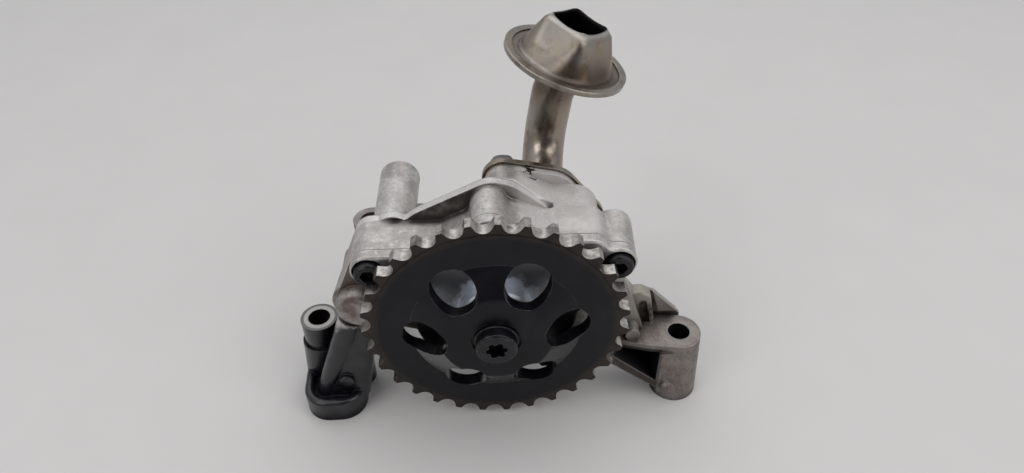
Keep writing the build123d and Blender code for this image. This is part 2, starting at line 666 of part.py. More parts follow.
def left_gallery():
    """Pressure gallery along the left side, with the cross passage from the outlet port."""
    gallery = y_rod(GALLERY_X, GALLERY_Z, GALLERY_RADIUS, GALLERY_FRONT_Y, CROSS_PASSAGE_Y)
    gallery = fillet(gallery.faces().sort_by(Axis.Y)[0].edges(), GALLERY_NOSE_RADIUS)
    gallery += rod_between(
        (GALLERY_X, COVER_BACK_Y, GALLERY_Z),
        (REAR_FOOT_X, REAR_FOOT_Y, GALLERY_Z),
        GALLERY_RADIUS + GALLERY_SWELL,
        COLUMN_RADIUS,
    )
    skirt = hull((GALLERY_X, GALLERY_Z, GALLERY_RADIUS), (-SIDE_LUG_X, SIDE_LUG_Z, LUG_RADIUS))
    skirt += hull((GALLERY_X, GALLERY_Z, GALLERY_RADIUS), GALLERY_SKIRT_DISC)
    gallery += along_y(skirt, COVER_BACK_Y, FLANGE_BACK_Y)
    gallery += x_rod(CROSS_PASSAGE_Y, GALLERY_Z, CROSS_BOSS_RADIUS, GALLERY_X, CROSS_BOSS_END_X)
    return gallery


def left_leg():
    """Outlet riser, bolt column and base pad of the left foot."""
    pad_outline = hull(
        (LEFT_FOOT_X, LEFT_FOOT_Y, 8.4),
        (LEFT_FOOT_X + 2.2, 7.5, 10.0),
        (OUTLET_X - 0.5, 7.0, 9.4),
        (OUTLET_X + 0.5, 20.0, 8.0),
    )
    pad_top = BASE_Z + LEFT_PAD_HEIGHT
    leg = upright_prism(pad_outline, BASE_Z, pad_top)
    leg = chamfer(leg.edges().filter_by_position(Axis.Z, pad_top - 0.1, pad_top + 0.1), 0.8)
    lip = pad_outline - offset(pad_outline, -3.6)
    lip -= Pos(OUTLET_X + 4, 25) * Rectangle(30, 30)
    lip = upright_prism(lip, pad_top - 1, pad_top + LEFT_LIP_HEIGHT)
    leg += fillet(lip.faces().sort_by(Axis.Z)[-1].edges(), 1.4)
    low = Plane((OUTLET_X + 0.8, OUTLET_Y + 3.0, pad_top - 2)) * RectangleRounded(19.4, 18.0, 4.0)
    high = Plane((GALLERY_X - 1.0, 15.5, GALLERY_Z - 6)) * RectangleRounded(14.0, 13.0, 4.0)
    leg += loft([low, high])
    rib_foot = (LEFT_FOOT_X + 0.6, 7.4, pad_top - 1)
    rib_top = (GALLERY_X - 5.0, 10.5, GALLERY_Z - 9)
    leg += rod_between(rib_foot, rib_top, 4.0, 4.4)
    ring_bottom = LEFT_FOOT_TOP_Z - LEFT_RING_HEIGHT
    leg += z_rod(LEFT_FOOT_X, LEFT_FOOT_Y, COLUMN_RADIUS, ring_bottom, LEFT_FOOT_TOP_Z)
    leg += z_rod(LEFT_FOOT_X, LEFT_FOOT_Y, COLUMN_RADIUS - 0.6, BASE_Z, ring_bottom)
    leg += upright_cone(
        (LEFT_FOOT_X - 0.8, LEFT_FOOT_Y - 0.6, BASE_Z, COLUMN_RADIUS + 1.9),
        (LEFT_FOOT_X - 0.2, LEFT_FOOT_Y, ring_bottom - 1.2, COLUMN_RADIUS + 0.8),
    )
    tie = hull((LEFT_FOOT_X + 3, LEFT_FOOT_Y, 3.0), (GALLERY_X - 6, 18.0, 5.0))
    leg += upright_prism(tie, BASE_Z + 2, LEFT_FOOT_TOP_Z - 4)
    stud = y_rod(OUTLET_X + 3.0, pad_top + 8.0, 3.0, OUTLET_Y - 6.2, OUTLET_Y)
    leg += fillet(stud.faces().sort_by(Axis.Y)[0].edges(), 0.8)
    return leg


def rear_column():
    """Bolt column at the back left, braced to the gallery by an upright web."""
    column = z_rod(REAR_FOOT_X, REAR_FOOT_Y, COLUMN_RADIUS, BASE_Z, REAR_FOOT_TOP_Z)
    brace = xz_face(
        (HOUSING_BACK_Y - 4, GALLERY_Z),
        (REAR_FOOT_Y, GALLERY_Z),
        (REAR_FOOT_Y, BASE_Z + 12),
        (REAR_FOOT_Y - COLUMN_RADIUS + 1, BASE_Z + 12),
        (HOUSING_BACK_Y - 4, GALLERY_Z - 14),
    )
    side = Plane((REAR_FOOT_X - WEB_PLATE / 2, 0, 0), x_dir=(0, 1, 0), z_dir=(1, 0, 0))
    return column + extrude(side * brace, WEB_PLATE)


def right_foot():
    """Bolt column, top plate, back wall and sloping lower web of the right foot."""
    back_y = RIGHT_FOOT_Y + RIGHT_FOOT_RADIUS
    front_y = RIGHT_FOOT_Y - RIGHT_FOOT_RADIUS
    plate_bottom = RIGHT_FOOT_TOP_Z - WEB_PLATE
    foot = upright_cone(
        (RIGHT_FOOT_X, RIGHT_FOOT_Y - 2.6, BASE_Z, RIGHT_FOOT_RADIUS + 0.8),
        (RIGHT_FOOT_X, RIGHT_FOOT_Y, RIGHT_FOOT_TOP_Z, RIGHT_FOOT_RADIUS),
    )
    top = xz_face(
        (24, 12),
        (47.6, front_y + 4.6),
        (58.6, front_y + 1.8),
        (RIGHT_FOOT_X, front_y),
        (RIGHT_FOOT_X, back_y),
        (58.4, back_y + 1.6),
        (24, back_y + 1.6),
    )
    foot += upright_prism(top, plate_bottom, RIGHT_FOOT_TOP_Z)
    arm = xz_face(
        (14, plate_bottom),
        (RIGHT_FOOT_X, plate_bottom),
        (RIGHT_FOOT_X, BASE_Z),
        (RIGHT_FOOT_X - 2, BASE_Z),
        *RIGHT_ARM_OUTLINE,
    )
    foot += along_y(arm, front_y - 0.2, back_y + 1.6)
    pocket = xz_face(
        (44.6, plate_bottom),
        (RIGHT_FOOT_X - RIGHT_FOOT_RADIUS, plate_bottom),
        (RIGHT_FOOT_X - RIGHT_FOOT_RADIUS, plate_bottom - 15.6),
    )
    foot -= along_y(pocket, front_y - 2, back_y - 1.2)
    foot += along_y(xz_face(*RIGHT_WING_OUTLINE), back_y - 7, back_y - 2)
    buttress = along_y(xz_face(*BUTTRESS_OUTLINE), back_y - 3.5, back_y + 1.6)
    buttress = fillet(buttress.faces().sort_by(Axis.Y)[0].edges(), 1.2)
    groove_top = (56.6, back_y - 3.6, -11)
    groove_foot = (58.2, back_y - 3.6, RIGHT_FOOT_TOP_Z)
    foot += buttress - rod_between(groove_top, groove_foot, 1.5, 2.3) - Pos(*groove_top) * Sphere(1.5)
    foot += along_y(xz_face(*GUSSET_OUTLINE), back_y - 0.7, back_y + 1.6)
    foot += along_y(xz_face(*BACKING_OUTLINE), back_y + 1.5, back_y + 3.2)
    foot += y_rod(52.2, -19.4, 2.75, front_y + 4.8, back_y)
    foot += Pos(RIGHT_FOOT_X - 3.8, front_y - 0.6, BASE_Z + 6.4) * Sphere(3.0)
    return foot - along_y(offset(body_outline(), 0.6), 0, COVER_BACK_Y)


def port_pocket(side):
    """Kidney port in the back wall: side is +1 for the inlet, -1 for the outlet."""
    ring = Circle(PORT_OUTER_RADIUS) - Circle(PORT_INNER_RADIUS)
    half = Pos(side * (PORT_LAND + BEYOND / 2), 0) * Rectangle(BEYOND, BEYOND)
    pocket = Pos(0, -ECCENTRICITY / 2) * (ring & half)
    return along_y(fillet(pocket.vertices(), PORT_CORNER_RADIUS), HOUSING_BACK_Y - 0.5, HOUSING_BACK_Y + PORT_DEPTH)


def oil_ways():
    """All hollows that carry oil: chamber, two ports, gallery, outlet riser and inlet bore."""
    ways = [y_rod(0, -ECCENTRICITY, CHAMBER_RADIUS, COVER_BACK_Y - 1, HOUSING_BACK_Y)]
    ways += [port_pocket(1), port_pocket(-1)]
    inlet = hull((INLET_X, INLET_Z, INLET_BORE_DIAMETER / 2), INLET_DUCT_FOOT)
    ways.append(along_y(inlet, FLANGE_BACK_Y + 1, HOUSING_BACK_Y + PORT_DEPTH))
    socket_front = REAR_BODY_END_Y - PICKUP_SPIGOT_LENGTH - 0.3
    bore_front = FLANGE_BACK_Y + 1
    ways.append(y_rod(INLET_X, INLET_Z, INLET_BORE_DIAMETER / 2, bore_front, REAR_BODY_END_Y))
    tube = PICKUP_TUBE_DIAMETER / 2
    ways.append(y_rod(INLET_X, INLET_Z, tube + 0.08, socket_front, REAR_BODY_END_Y))
    seal_front = REAR_BODY_END_Y - SEAL_GROOVE_DEPTH
    ways.append(y_rod(INLET_X, INLET_Z, tube + 2 * SEAL_SECTION_RADIUS, seal_front, REAR_BODY_END_Y))
    ways.append(
        x_rod(CROSS_PASSAGE_Y, GALLERY_Z, PASSAGE_RADIUS, GALLERY_X, CROSS_PASSAGE_END_X)
    )
    ways.append(y_rod(GALLERY_X, GALLERY_Z, PASSAGE_RADIUS, GALLERY_FRONT_Y + 4, CROSS_PASSAGE_Y + 5))
    port_top = BASE_Z + OUTLET_PORT_DEPTH
    ways.append(z_rod(OUTLET_X, OUTLET_Y, OUTLET_PORT_DIAMETER / 2, BASE_Z, port_top))
    riser = ((OUTLET_X, OUTLET_Y + 1.5, port_top - 3), (GALLERY_X, 16.0, GALLERY_Z))
    ways.append(rod_between(riser[0], riser[1], PASSAGE_RADIUS, PASSAGE_RADIUS))
    return ways


def valve_ways():
    """Bore of the relief valve, its feed from the cross passage, spill hole and pin hole."""
    bore = VALVE_BORE_DIAMETER / 2
    pin_y = VALVE_END_Y - VALVE_PIN_SETBACK
    throat_y = PISTON_SEAT_Y - VALVE_THROAT_LENGTH
    spill_y = PISTON_SEAT_Y + SPILL_HOLE_OPENS
    reach = VALVE_BARREL_RADIUS + 1
    return [
        y_rod(VALVE_X, VALVE_Z, bore, PISTON_SEAT_Y, VALVE_END_Y),
        y_rod(VALVE_X, VALVE_Z, bore - VALVE_SEAT_LEDGE, throat_y, PISTON_SEAT_Y),
        z_rod(VALVE_X, VALVE_FEED_Y, VALVE_FEED_RADIUS, GALLERY_Z, VALVE_Z),
        z_rod(VALVE_X + SPILL_HOLE_OFFSET, spill_y, SPILL_HOLE_RADIUS, VALVE_Z - reach, VALVE_Z),
        x_rod(pin_y, VALVE_Z, VALVE_PIN_DIAMETER / 2, VALVE_X - reach, VALVE_X + reach),
    ]


def pump_housing():
    """Light alloy casting: rotor housing, inlet block, relief valve barrel and mounting feet."""
    body = housing_core() + valve_barrel() + left_gallery() + left_leg() + rear_column()
    body += right_foot()
    for way in oil_ways() + valve_ways():
        body -= way
    body -= y_rod(0, 0, BUSH_RADIUS, HOUSING_BACK_Y - 1, SHAFT_BACK_Y)
    screw_front = COVER_FRONT_Y + SCREW_SEAT_DEPTH
    for hole in screw_holes(SCREW_DIAMETER / 2, 0, screw_front + SCREW_LENGTH + 1):
        body -= hole
    for x, z in dowel_places():
        body -= y_rod(x, z, DOWEL_DIAMETER / 2, 0, COVER_FRONT_Y + DOWEL_SETBACK + DOWEL_LENGTH)
    for x, z in pickup_ears():
        body -= y_rod(x, z, PICKUP_SCREW_DIAMETER / 2, REAR_BODY_END_Y - 11, REAR_BODY_END_Y + 1)
    mount = MOUNT_BORE_DIAMETER / 2
    body -= z_rod(LEFT_FOOT_X, LEFT_FOOT_Y, mount, BASE_Z - 1, LEFT_FOOT_TOP_Z + 1)
    body -= z_rod(RIGHT_FOOT_X, RIGHT_FOOT_Y, mount, BASE_Z - 1, RIGHT_FOOT_TOP_Z + 1)
    body -= z_rod(REAR_FOOT_X, REAR_FOOT_Y, mount, BASE_Z - 1, REAR_FOOT_TOP_Z + 1)
    return body - upright_prism(Rectangle(BEYOND, BEYOND), BASE_Z - BEYOND, BASE_Z)


# ---------------------------------------------------------------- relief valve


def relief_piston():
    """Cup-shaped piston, closed towards the oil."""
    radius = VALVE_BORE_DIAMETER / 2 - RUNNING_CLEARANCE
    back = PISTON_SEAT_Y + PISTON_LENGTH
    piston = y_rod(VALVE_X, VALVE_Z, radius, PISTON_SEAT_Y, back)
    piston = chamfer(piston.faces().sort_by(Axis.Y)[0].edges(), 0.8)
    return piston - y_rod(VALVE_X, VALVE_Z, radius - PISTON_WALL, PISTON_SEAT_Y + PISTON_CROWN, back)


def plug_front():
    """Front face of the plug, whose back rests on the cross pin."""
    return VALVE_END_Y - VALVE_PIN_SETBACK - VALVE_PIN_DIAMETER / 2 - PLUG_LENGTH


def relief_spring():
    """Coil between the piston's floor and the plug, one turn after another."""
    front = PISTON_SEAT_Y + PISTON_CROWN
    length = plug_front() - front
    outer_radius = VALVE_BORE_DIAMETER / 2 - RUNNING_CLEARANCE - PISTON_WALL - SPRING_SIDE_GAP
    pitch = (length - SPRING_WIRE) / SPRING_TURNS
    path = Helix(pitch, pitch, outer_radius - SPRING_WIRE / 2)
    turn = sweep(Plane(path @ 0, z_dir=path % 0) * Circle(SPRING_WIRE / 2), path=path)
    wire = turn
    for index in range(1, SPRING_TURNS):
        wire += Pos(0, 0, index * pitch) * turn
    turned = Rot(-90, 0, 0) * wire
    return Pos(VALVE_X, front + SPRING_WIRE / 2, VALVE_Z) * turned


def relief_plug():
    """Plug that holds the spring."""
    radius = VALVE_BORE_DIAMETER / 2 - RUNNING_CLEARANCE
    plug = y_rod(VALVE_X, VALVE_Z, radius, plug_front(), plug_front() + PLUG_LENGTH)
    return chamfer(plug.faces().filter_by(GeomType.PLANE).edges(), 0.4)


def relief_pin():
    """Cross pin that holds the plug in the barrel."""
    reach = VALVE_BARREL_RADIUS - 0.8
    pin_y = VALVE_END_Y - VALVE_PIN_SETBACK
    return x_rod(pin_y, VALVE_Z, VALVE_PIN_DIAMETER / 2, VALVE_X - reach, VALVE_X + reach)


# ---------------------------------------------------------------- pickup


def pickup_flange():
    """Pressed steel flange of the pickup tube."""
    back = REAR_BODY_END_Y + PICKUP_FLANGE_THICKNESS
    plate = along_y(inlet_boss_outline(1.0), REAR_BODY_END_Y, back)
    plate = fillet(plate.faces().sort_by(Axis.Y)[-1].edges(), 0.8)
    plate -= y_rod(INLET_X, INLET_Z, PICKUP_TUBE_DIAMETER / 2, 0, back)
    for x, z in pickup_ears():
        plate -= y_rod(x, z, PICKUP_SCREW_DIAMETER / 2 + 0.25, 0, back)
    return plate


def pickup_bolts():
    """Two flanged hexagon bolts that hold the pickup flange."""
    seat = REAR_BODY_END_Y + PICKUP_FLANGE_THICKNESS
    bolts = []
    for x, z in pickup_ears():
        shank = y_rod(x, z, PICKUP_SCREW_DIAMETER / 2, seat - 13, seat)
        collar = y_rod(x, z, HEX_COLLAR_DIAMETER / 2, seat, seat + 1.4)
        collar = chamfer(collar.faces().sort_by(Axis.Y)[-1].edges(), 0.5)
        hexagon = Pos(x, z) * RegularPolygon(HEX_HEAD_FLATS / 2, 6, major_radius=False)
        head = along_y(hexagon, seat + 1, seat + HEX_HEAD_HEIGHT)
        crown = y_rod(x, z, 1.14 * HEX_HEAD_FLATS / 2, seat, seat + HEX_HEAD_HEIGHT)
        crown = chamfer(crown.faces().sort_by(Axis.Y)[-1].edges(), 0.8)
        bolts.append(shank + collar + (head & crown))
    return Compound(bolts)


def pickup_seal():
    """O-ring round the tube, in the mouth of the housing's inlet bore."""
    ring = Torus(PICKUP_TUBE_DIAMETER / 2 + SEAL_SECTION_RADIUS, SEAL_SECTION_RADIUS)
    return Pos(INLET_X, REAR_BODY_END_Y - SEAL_SECTION_RADIUS - 0.05, INLET_Z) * Rot(90, 0, 0) * ring


def strainer_plane():
    """Plane of the strainer's brim: centre of the brim, normal along the strainer's axis."""
    centre = Pos(STRAINER_X, PICKUP_REACH_Y, STRAINER_Z)
    return Plane(centre * Rot(0, STRAINER_TILT, 0))


def pickup_tube():
    """Bent suction tube from the inlet bore up to the strainer, with its weld bead."""
    plane = strainer_plane()
    top = plane.origin - plane.z_dir * STRAINER_DISH_DEPTH
    below = plane.origin - plane.z_dir * (STRAINER_DISH_DEPTH + PICKUP_END_RUN)
    path = FilletPolyline(
        (INLET_X, REAR_BODY_END_Y - PICKUP_SPIGOT_LENGTH, INLET_Z),
        (INLET_X, PICKUP_REACH_Y, INLET_Z),
        (below.X, below.Y, below.Z),
        (top.X, top.Y, top.Z),
        radius=PICKUP_BEND_RADIUS,
    )
    start = Plane(path @ 0, z_dir=path % 0)
    ring = Circle(PICKUP_TUBE_DIAMETER / 2) - Circle(PICKUP_TUBE_DIAMETER / 2 - PICKUP_TUBE_WALL)
    tube = sweep(start * ring, path=path)
    bead = Torus(PICKUP_TUBE_DIAMETER / 2, WELD_BEAD_RADIUS)
    bead_y = REAR_BODY_END_Y + PICKUP_FLANGE_THICKNESS
    bead = Pos(INLET_X, bead_y, INLET_Z) * Rot(90, 0, 0) * bead
    bead -= y_rod(INLET_X, INLET_Z, PICKUP_TUBE_DIAMETER, 0, bead_y)
    bead -= y_rod(INLET_X, INLET_Z, PICKUP_TUBE_DIAMETER / 2 - 0.1, 0, bead_y + 5)
    return tube + bead


def strainer_base():
    """Dished base of the strainer with its rolled brim."""
    tube = PICKUP_TUBE_DIAMETER / 2
    sheet = STRAINER_SHEET
    crown = STRAINER_CROWN_RADIUS
    brim = STRAINER_BRIM_RADIUS
    lip = STRAINER_BRIM_LIP
    depth = STRAINER_DISH_DEPTH
    with BuildSketch(Plane.XZ) as section:
        with BuildLine():
            Polyline(
                (tube - 1.2, -depth),
                (tube + 1.5, -depth),
                (crown + 0.5, -sheet),
                (brim, -sheet),
                (brim, 2 * sheet),
                (brim - lip, 2 * sheet),
                (brim - lip, sheet),
                (brim - sheet, sheet),
                (brim - sheet, 0),
                (crown, 0),
                (tube + 1.5, -depth + sheet),
                (tube - 1.2, -depth + sheet),
                close=True,
            )
        make_face()
    return strainer_plane() * revolve(section.sketch, Axis.Z)


def crown_solid(shrink, mouth_shrink, low, high):
    """Tapering body from a round foot to a rounded square mouth that stands on its corner."""
    foot = 2 * (STRAINER_CROWN_RADIUS - shrink)
    mouth = STRAINER_MOUTH_WIDTH - 2 * mouth_shrink
    waist = foot * 0.4 + (STRAINER_MOUTH_WIDTH - 2 * shrink) * 0.6
    waist_height = STRAINER_CROWN_HEIGHT * 0.55
    lower = Plane((0, 0, low)) * RectangleRounded(foot, foot, foot / 2 - 1.0)
    middle = Plane((0, 0, waist_height)) * RectangleRounded(waist, waist, foot * 0.17)
    upper = Plane((0, 0, high)) * RectangleRounded(mouth, mouth, 2.2)
    return Rot(0, 0, 45) * loft([lower, middle, upper])


def mouth_bevel():
    """Frustum that turns the upper edge of the crown inwards."""
    start = STRAINER_CROWN_HEIGHT - STRAINER_BEVEL_HEIGHT
    width = STRAINER_MOUTH_WIDTH + 0.8 * STRAINER_BEVEL_HEIGHT
    top = STRAINER_CROWN_HEIGHT + 1
    foot_width = width + 2 * STRAINER_BEVEL_SLOPE * start
    top_width = width - 2 * STRAINER_BEVEL_SLOPE * (top - start)
    foot = Plane.XY * RectangleRounded(foot_width, foot_width, STRAINER_CROWN_RADIUS / 2)
    tip = Plane((0, 0, top)) * RectangleRounded(top_width, top_width, 2.2)
    return Rot(0, 0, 45) * loft([foot, tip])


def strainer_cup():
    """Pressed crown of the strainer: flat foot ring and a shell open at its square mouth."""
    sheet = STRAINER_SHEET
    height = STRAINER_CROWN_HEIGHT
    shell = crown_solid(0, 0, sheet * 0.8, height) & mouth_bevel()
    dip = Pos(0, 0, height + MOUTH_DIP_RADIUS - MOUTH_DIP) * Rot(0, 0, 45)
    shell -= dip * Rot(90, 0, 0) * Cylinder(MOUTH_DIP_RADIUS, BEYOND)
    shell -= dip * Rot(0, 90, 0) * Cylinder(MOUTH_DIP_RADIUS, BEYOND)
    shell -= crown_solid(sheet, STRAINER_MOUTH_LIP, sheet * 0.4, height + 0.5)
    ring = Circle(STRAINER_BRIM_RADIUS - sheet - 0.05) - Circle(STRAINER_CROWN_RADIUS - sheet)
    return strainer_plane() * (shell + extrude(ring, sheet))


def strainer_screen():
    """Perforated screen across the foot of the crown."""
    radius = STRAINER_CROWN_RADIUS - STRAINER_SHEET - 0.05
    disc = Circle(radius)
    for column in range(-3, 4):
        for row in range(-3, 4):
            x = column * SCREEN_PITCH
            y = row * SCREEN_PITCH
            if math.hypot(x, y) < radius - SCREEN_HOLE:
                disc -= Pos(x, y) * Rectangle(SCREEN_HOLE, SCREEN_HOLE)
    return strainer_plane() * extrude(disc, SCREEN_THICKNESS)


# ---------------------------------------------------------------- export

PIECES = {
    "chain_sprocket": chain_sprocket,
    "sprocket_bolt": sprocket_bolt,
    "drive_shaft": drive_shaft,
    "inner_rotor": inner_rotor,
    "outer_rotor": outer_rotor,
    "front_bush": front_bush,
    "rear_bush": rear_bush,
    "front_cover": front_cover,
    "cover_screws": cover_screws,
    "cover_washers": cover_washers,
    "cover_dowels": cover_dowels,
    "pump_housing": pump_housing,
    "relief_piston": relief_piston,
    "relief_spring": relief_spring,
    "relief_plug": relief_plug,
    "relief_pin": relief_pin,
    "pickup_flange": pickup_flange,
    "pickup_bolts": pickup_bolts,
    "pickup_seal": pickup_seal,
    "pickup_tube": pickup_tube,
    "strainer_base": strainer_base,
    "strainer_cup": strainer_cup,
    "strainer_screen": strainer_screen,
}

os.makedirs("parts", exist_ok=True)
for name, make in PIECES.items():
    shape = make()
    shape.label = name
    export_step(shape, os.path.join("parts", name + ".step"))
    print(name, round(shape.volume, 1), shape.bounding_box())
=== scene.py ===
"""Engine oil pump: looks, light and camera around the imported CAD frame. Lengths are in metres, or in
millimetres where a comment says so."""

import math

import bpy
from mathutils import Euler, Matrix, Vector


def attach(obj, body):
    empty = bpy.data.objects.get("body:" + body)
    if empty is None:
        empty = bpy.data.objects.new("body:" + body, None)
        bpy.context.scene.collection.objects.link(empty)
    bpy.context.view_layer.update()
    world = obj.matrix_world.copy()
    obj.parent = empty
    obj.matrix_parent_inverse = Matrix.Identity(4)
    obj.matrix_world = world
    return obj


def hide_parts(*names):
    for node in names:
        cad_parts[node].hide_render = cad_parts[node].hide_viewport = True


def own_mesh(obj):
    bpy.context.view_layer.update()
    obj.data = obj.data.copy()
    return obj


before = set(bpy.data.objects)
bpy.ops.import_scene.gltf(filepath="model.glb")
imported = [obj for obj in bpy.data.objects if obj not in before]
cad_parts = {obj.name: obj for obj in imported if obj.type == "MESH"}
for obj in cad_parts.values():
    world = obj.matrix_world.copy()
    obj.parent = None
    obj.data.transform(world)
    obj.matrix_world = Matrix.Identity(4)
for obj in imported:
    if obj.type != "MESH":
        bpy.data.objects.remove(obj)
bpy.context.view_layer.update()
MM = 0.001

# ---------------------------------------------------------------- camera
CAMERA_PLACE = Vector((0.0003, -0.1838, 0.1985))
CAMERA_LENS = 26.56             # millimetres
SENSOR_WIDTH = 36.0             # millimetres
CAMERA_PITCH = 40.7             # degrees below the horizon
CAMERA_YAW = 1.8                # degrees to the right of straight ahead
CAMERA_ROLL = -0.7              # degrees
NEAREST_SEEN = 0.01


def add_camera():
    """The photograph's own viewpoint."""
    data = bpy.data.cameras.new("photo_camera")
    data.lens = CAMERA_LENS
    data.sensor_width = SENSOR_WIDTH
    data.clip_start = NEAREST_SEEN
    camera = bpy.data.objects.new("photo_camera", data)
    heading = Euler((0, 0, math.radians(-CAMERA_YAW))).to_matrix()
    tilt = Euler((math.radians(90 - CAMERA_PITCH), 0, 0)).to_matrix()
    roll = Euler((0, 0, math.radians(CAMERA_ROLL))).to_matrix()
    camera.matrix_world = (heading @ tilt @ roll).to_4x4()
    camera.location = CAMERA_PLACE
    bpy.context.scene.collection.objects.link(camera)
    bpy.context.scene.camera = camera


# ---------------------------------------------------------------- node graphs
class Nodes:
    """Adds nodes to a tree. An input is given a socket, a value or None, which leaves it as it is."""

    def __init__(self, tree):
        self.tree = tree

    def node(self, kind, *values, **settings):
        """Add a node and fill its inputs in order."""
        made = self.tree.nodes.new(kind)
        for key, value in settings.items():
            setattr(made, key, value)
        for socket, value in zip(made.inputs, values):
            self.put(socket, value)
        return made

    def put(self, socket, value):
        if value is None:
            return
        if isinstance(value, bpy.types.NodeSocket):
            self.tree.links.new(value, socket)
        elif socket.type == "RGBA":
            socket.default_value = (*value, 1.0)
        else:
            socket.default_value = value

    def maths(self, operation, *values):
        return self.node("ShaderNodeMath", *values, operation=operation).outputs[0]

    def vector_maths(self, operation, *values):
        made = self.node("ShaderNodeVectorMath", *values, operation=operation)
        return made.outputs["Value" if operation == "DOT_PRODUCT" else "Vector"]

    def total(self, first, second):
        return self.maths("ADD", first, second)

    def product(self, *values):
        result = values[0]
        for value in values[1:]:
            result = self.maths("MULTIPLY", result, value)
        return result

    def part(self, vector, axis):
        return self.node("ShaderNodeSeparateXYZ", vector).outputs[axis]

    def ramp(self, value, low, high, out_low=0.0, out_high=1.0):
        """Smooth step: out_low where value is at low, out_high where it is at high."""
        limits = (low, high, out_low, out_high)
        return self.node("ShaderNodeMapRange", value, *limits, interpolation_type="SMOOTHSTEP").outputs[0]

    def mix(self, amount, first, second):
        """Mix of two colours."""
        made = self.node("ShaderNodeMix", amount, data_type="RGBA")
        self.put(made.inputs[6], first)
        self.put(made.inputs[7], second)
        return made.outputs[2]

    def blend(self, amount, first, second):
        """Mix of two numbers."""
        return self.node("ShaderNodeMix", amount, None, first, second, data_type="FLOAT").outputs[0]


class Material(Nodes):
    """A Principled material. Its sizes and places are given in millimetres, in the part's own frame."""

    def __init__(self, name):
        self.material = bpy.data.materials.new(name)
        self.material.use_nodes = True
        super().__init__(self.material.node_tree)
        coords = self.node("ShaderNodeTexCoord")
        self.place = coords.outputs["Object"]
        self.normal = coords.outputs["Normal"]

    def set(self, **values):
        """Fill inputs of the shader, named with underscores for spaces."""
        shader = self.tree.nodes["Principled BSDF"]
        for name, value in values.items():
            self.put(shader.inputs[name.replace("_", " ")], value)

    def along(self, axis):
        """Place along an axis, in metres."""
        return self.part(self.place, axis)

    def facing(self, axis):
        """How far a face looks along an axis, from -1 to 1."""
        return self.part(self.normal, axis)

    def around(self, centre, axes="XZ"):
        """Distance in metres from a line along one axis; the centre lies on the two other axes."""
        squares = []
        for axis, middle in zip(axes, centre):
            shifted = self.maths("SUBTRACT", self.along(axis), middle * MM)
            squares.append(self.product(shifted, shifted))
        return self.maths("SQRT", self.total(*squares))

    def step(self, length, low, high, out_low=0.0, out_high=1.0):
        """Ramp of a length."""
        return self.ramp(length, low * MM, high * MM, out_low, out_high)

    def disc(self, centre, none, full, axes="XZ"):
        """Mask by the distance from a line: 0 at the radius none and 1 at the radius full."""
        return self.step(self.around(centre, axes), none, full)

    def region(self, limits, waver=None):
        """Mask of a soft box: each limit is an axis, the place where it is 0 and the place where it is 1."""
        masks = []
        for axis, none, full in limits:
            length = self.along(axis)
            if waver is not None:
                length = self.total(length, waver)
            masks.append(self.step(length, none, full))
        return self.product(*masks)

    def noise(self, size, detail=3.0, roughness=0.55, stretch=None):
        """Noise from 0 to 1 with grains of about the given size."""
        place = self.place
        if stretch:
            place = self.node("ShaderNodeMapping", place, None, None, stretch).outputs[0]
        made = self.node("ShaderNodeTexNoise", place)
        self.put(made.inputs["Scale"], 1.0 / (size * MM))
        self.put(made.inputs["Detail"], detail)
        self.put(made.inputs["Roughness"], roughness)
        return made.outputs["Fac"]

    def patches(self, size, low, high, least=0.0, most=1.0, detail=3.0):
        """Soft patches: least where the noise is at low, most where it is at high."""
        return self.ramp(self.noise(size, detail), low, high, least, most)

    def waver(self, size, reach, low=0.3, high=0.7, detail=3.0):
        """An uneven shift in metres, up to reach both ways, to roughen the border of a mask."""
        return self.patches(size, low, high, -reach * MM, reach * MM, detail)

    def cells(self, size):
        made = self.node("ShaderNodeTexVoronoi", self.place)
        self.put(made.inputs["Scale"], 1.0 / (size * MM))
        return made.outputs["Distance"]

    def turned_inwards(self, centre, direction):
        """1 on faces that look towards an axis, 0 on those that look away from it."""
        from_centre = self.vector_maths("SUBTRACT", self.place, [length * MM for length in centre])
        lengthways = self.node("ShaderNodeVectorMath", direction, operation="SCALE")
        self.put(lengthways.inputs["Scale"], self.vector_maths("DOT_PRODUCT", from_centre, direction))
        outwards = self.vector_maths("SUBTRACT", from_centre, lengthways.outputs[0])
        outwards = self.vector_maths("NORMALIZE", outwards)
        return self.ramp(self.vector_maths("DOT_PRODUCT", outwards, self.normal), 0.1, -0.25)

    def crevice(self, reach):
        """1 deep in a corner and 0 on an open face."""
        made = self.node("ShaderNodeAmbientOcclusion", samples=6, only_local=False)
        self.put(made.inputs["Distance"], reach * MM)
        return self.ramp(made.outputs["AO"], 0.95, 0.35)

    def soft_edges(self, radius):
        """Rounded normal near sharp edges, and a mask that is 1 on those edges."""
        rounded = self.node("ShaderNodeBevel", radius * MM, samples=4).outputs[0]
        true_normal = self.node("ShaderNodeNewGeometry").outputs["Normal"]
        return rounded, self.ramp(self.vector_maths("DOT_PRODUCT", rounded, true_normal), 0.995, 0.90)

    def bump(self, height, depth, normal):
        made = self.node("ShaderNodeBump")
        self.put(made.inputs["Strength"], 1.0)
        self.put(made.inputs["Distance"], depth * MM)
        self.put(made.inputs["Height"], height)
        self.put(made.inputs["Normal"], normal)
        return made.outputs[0]


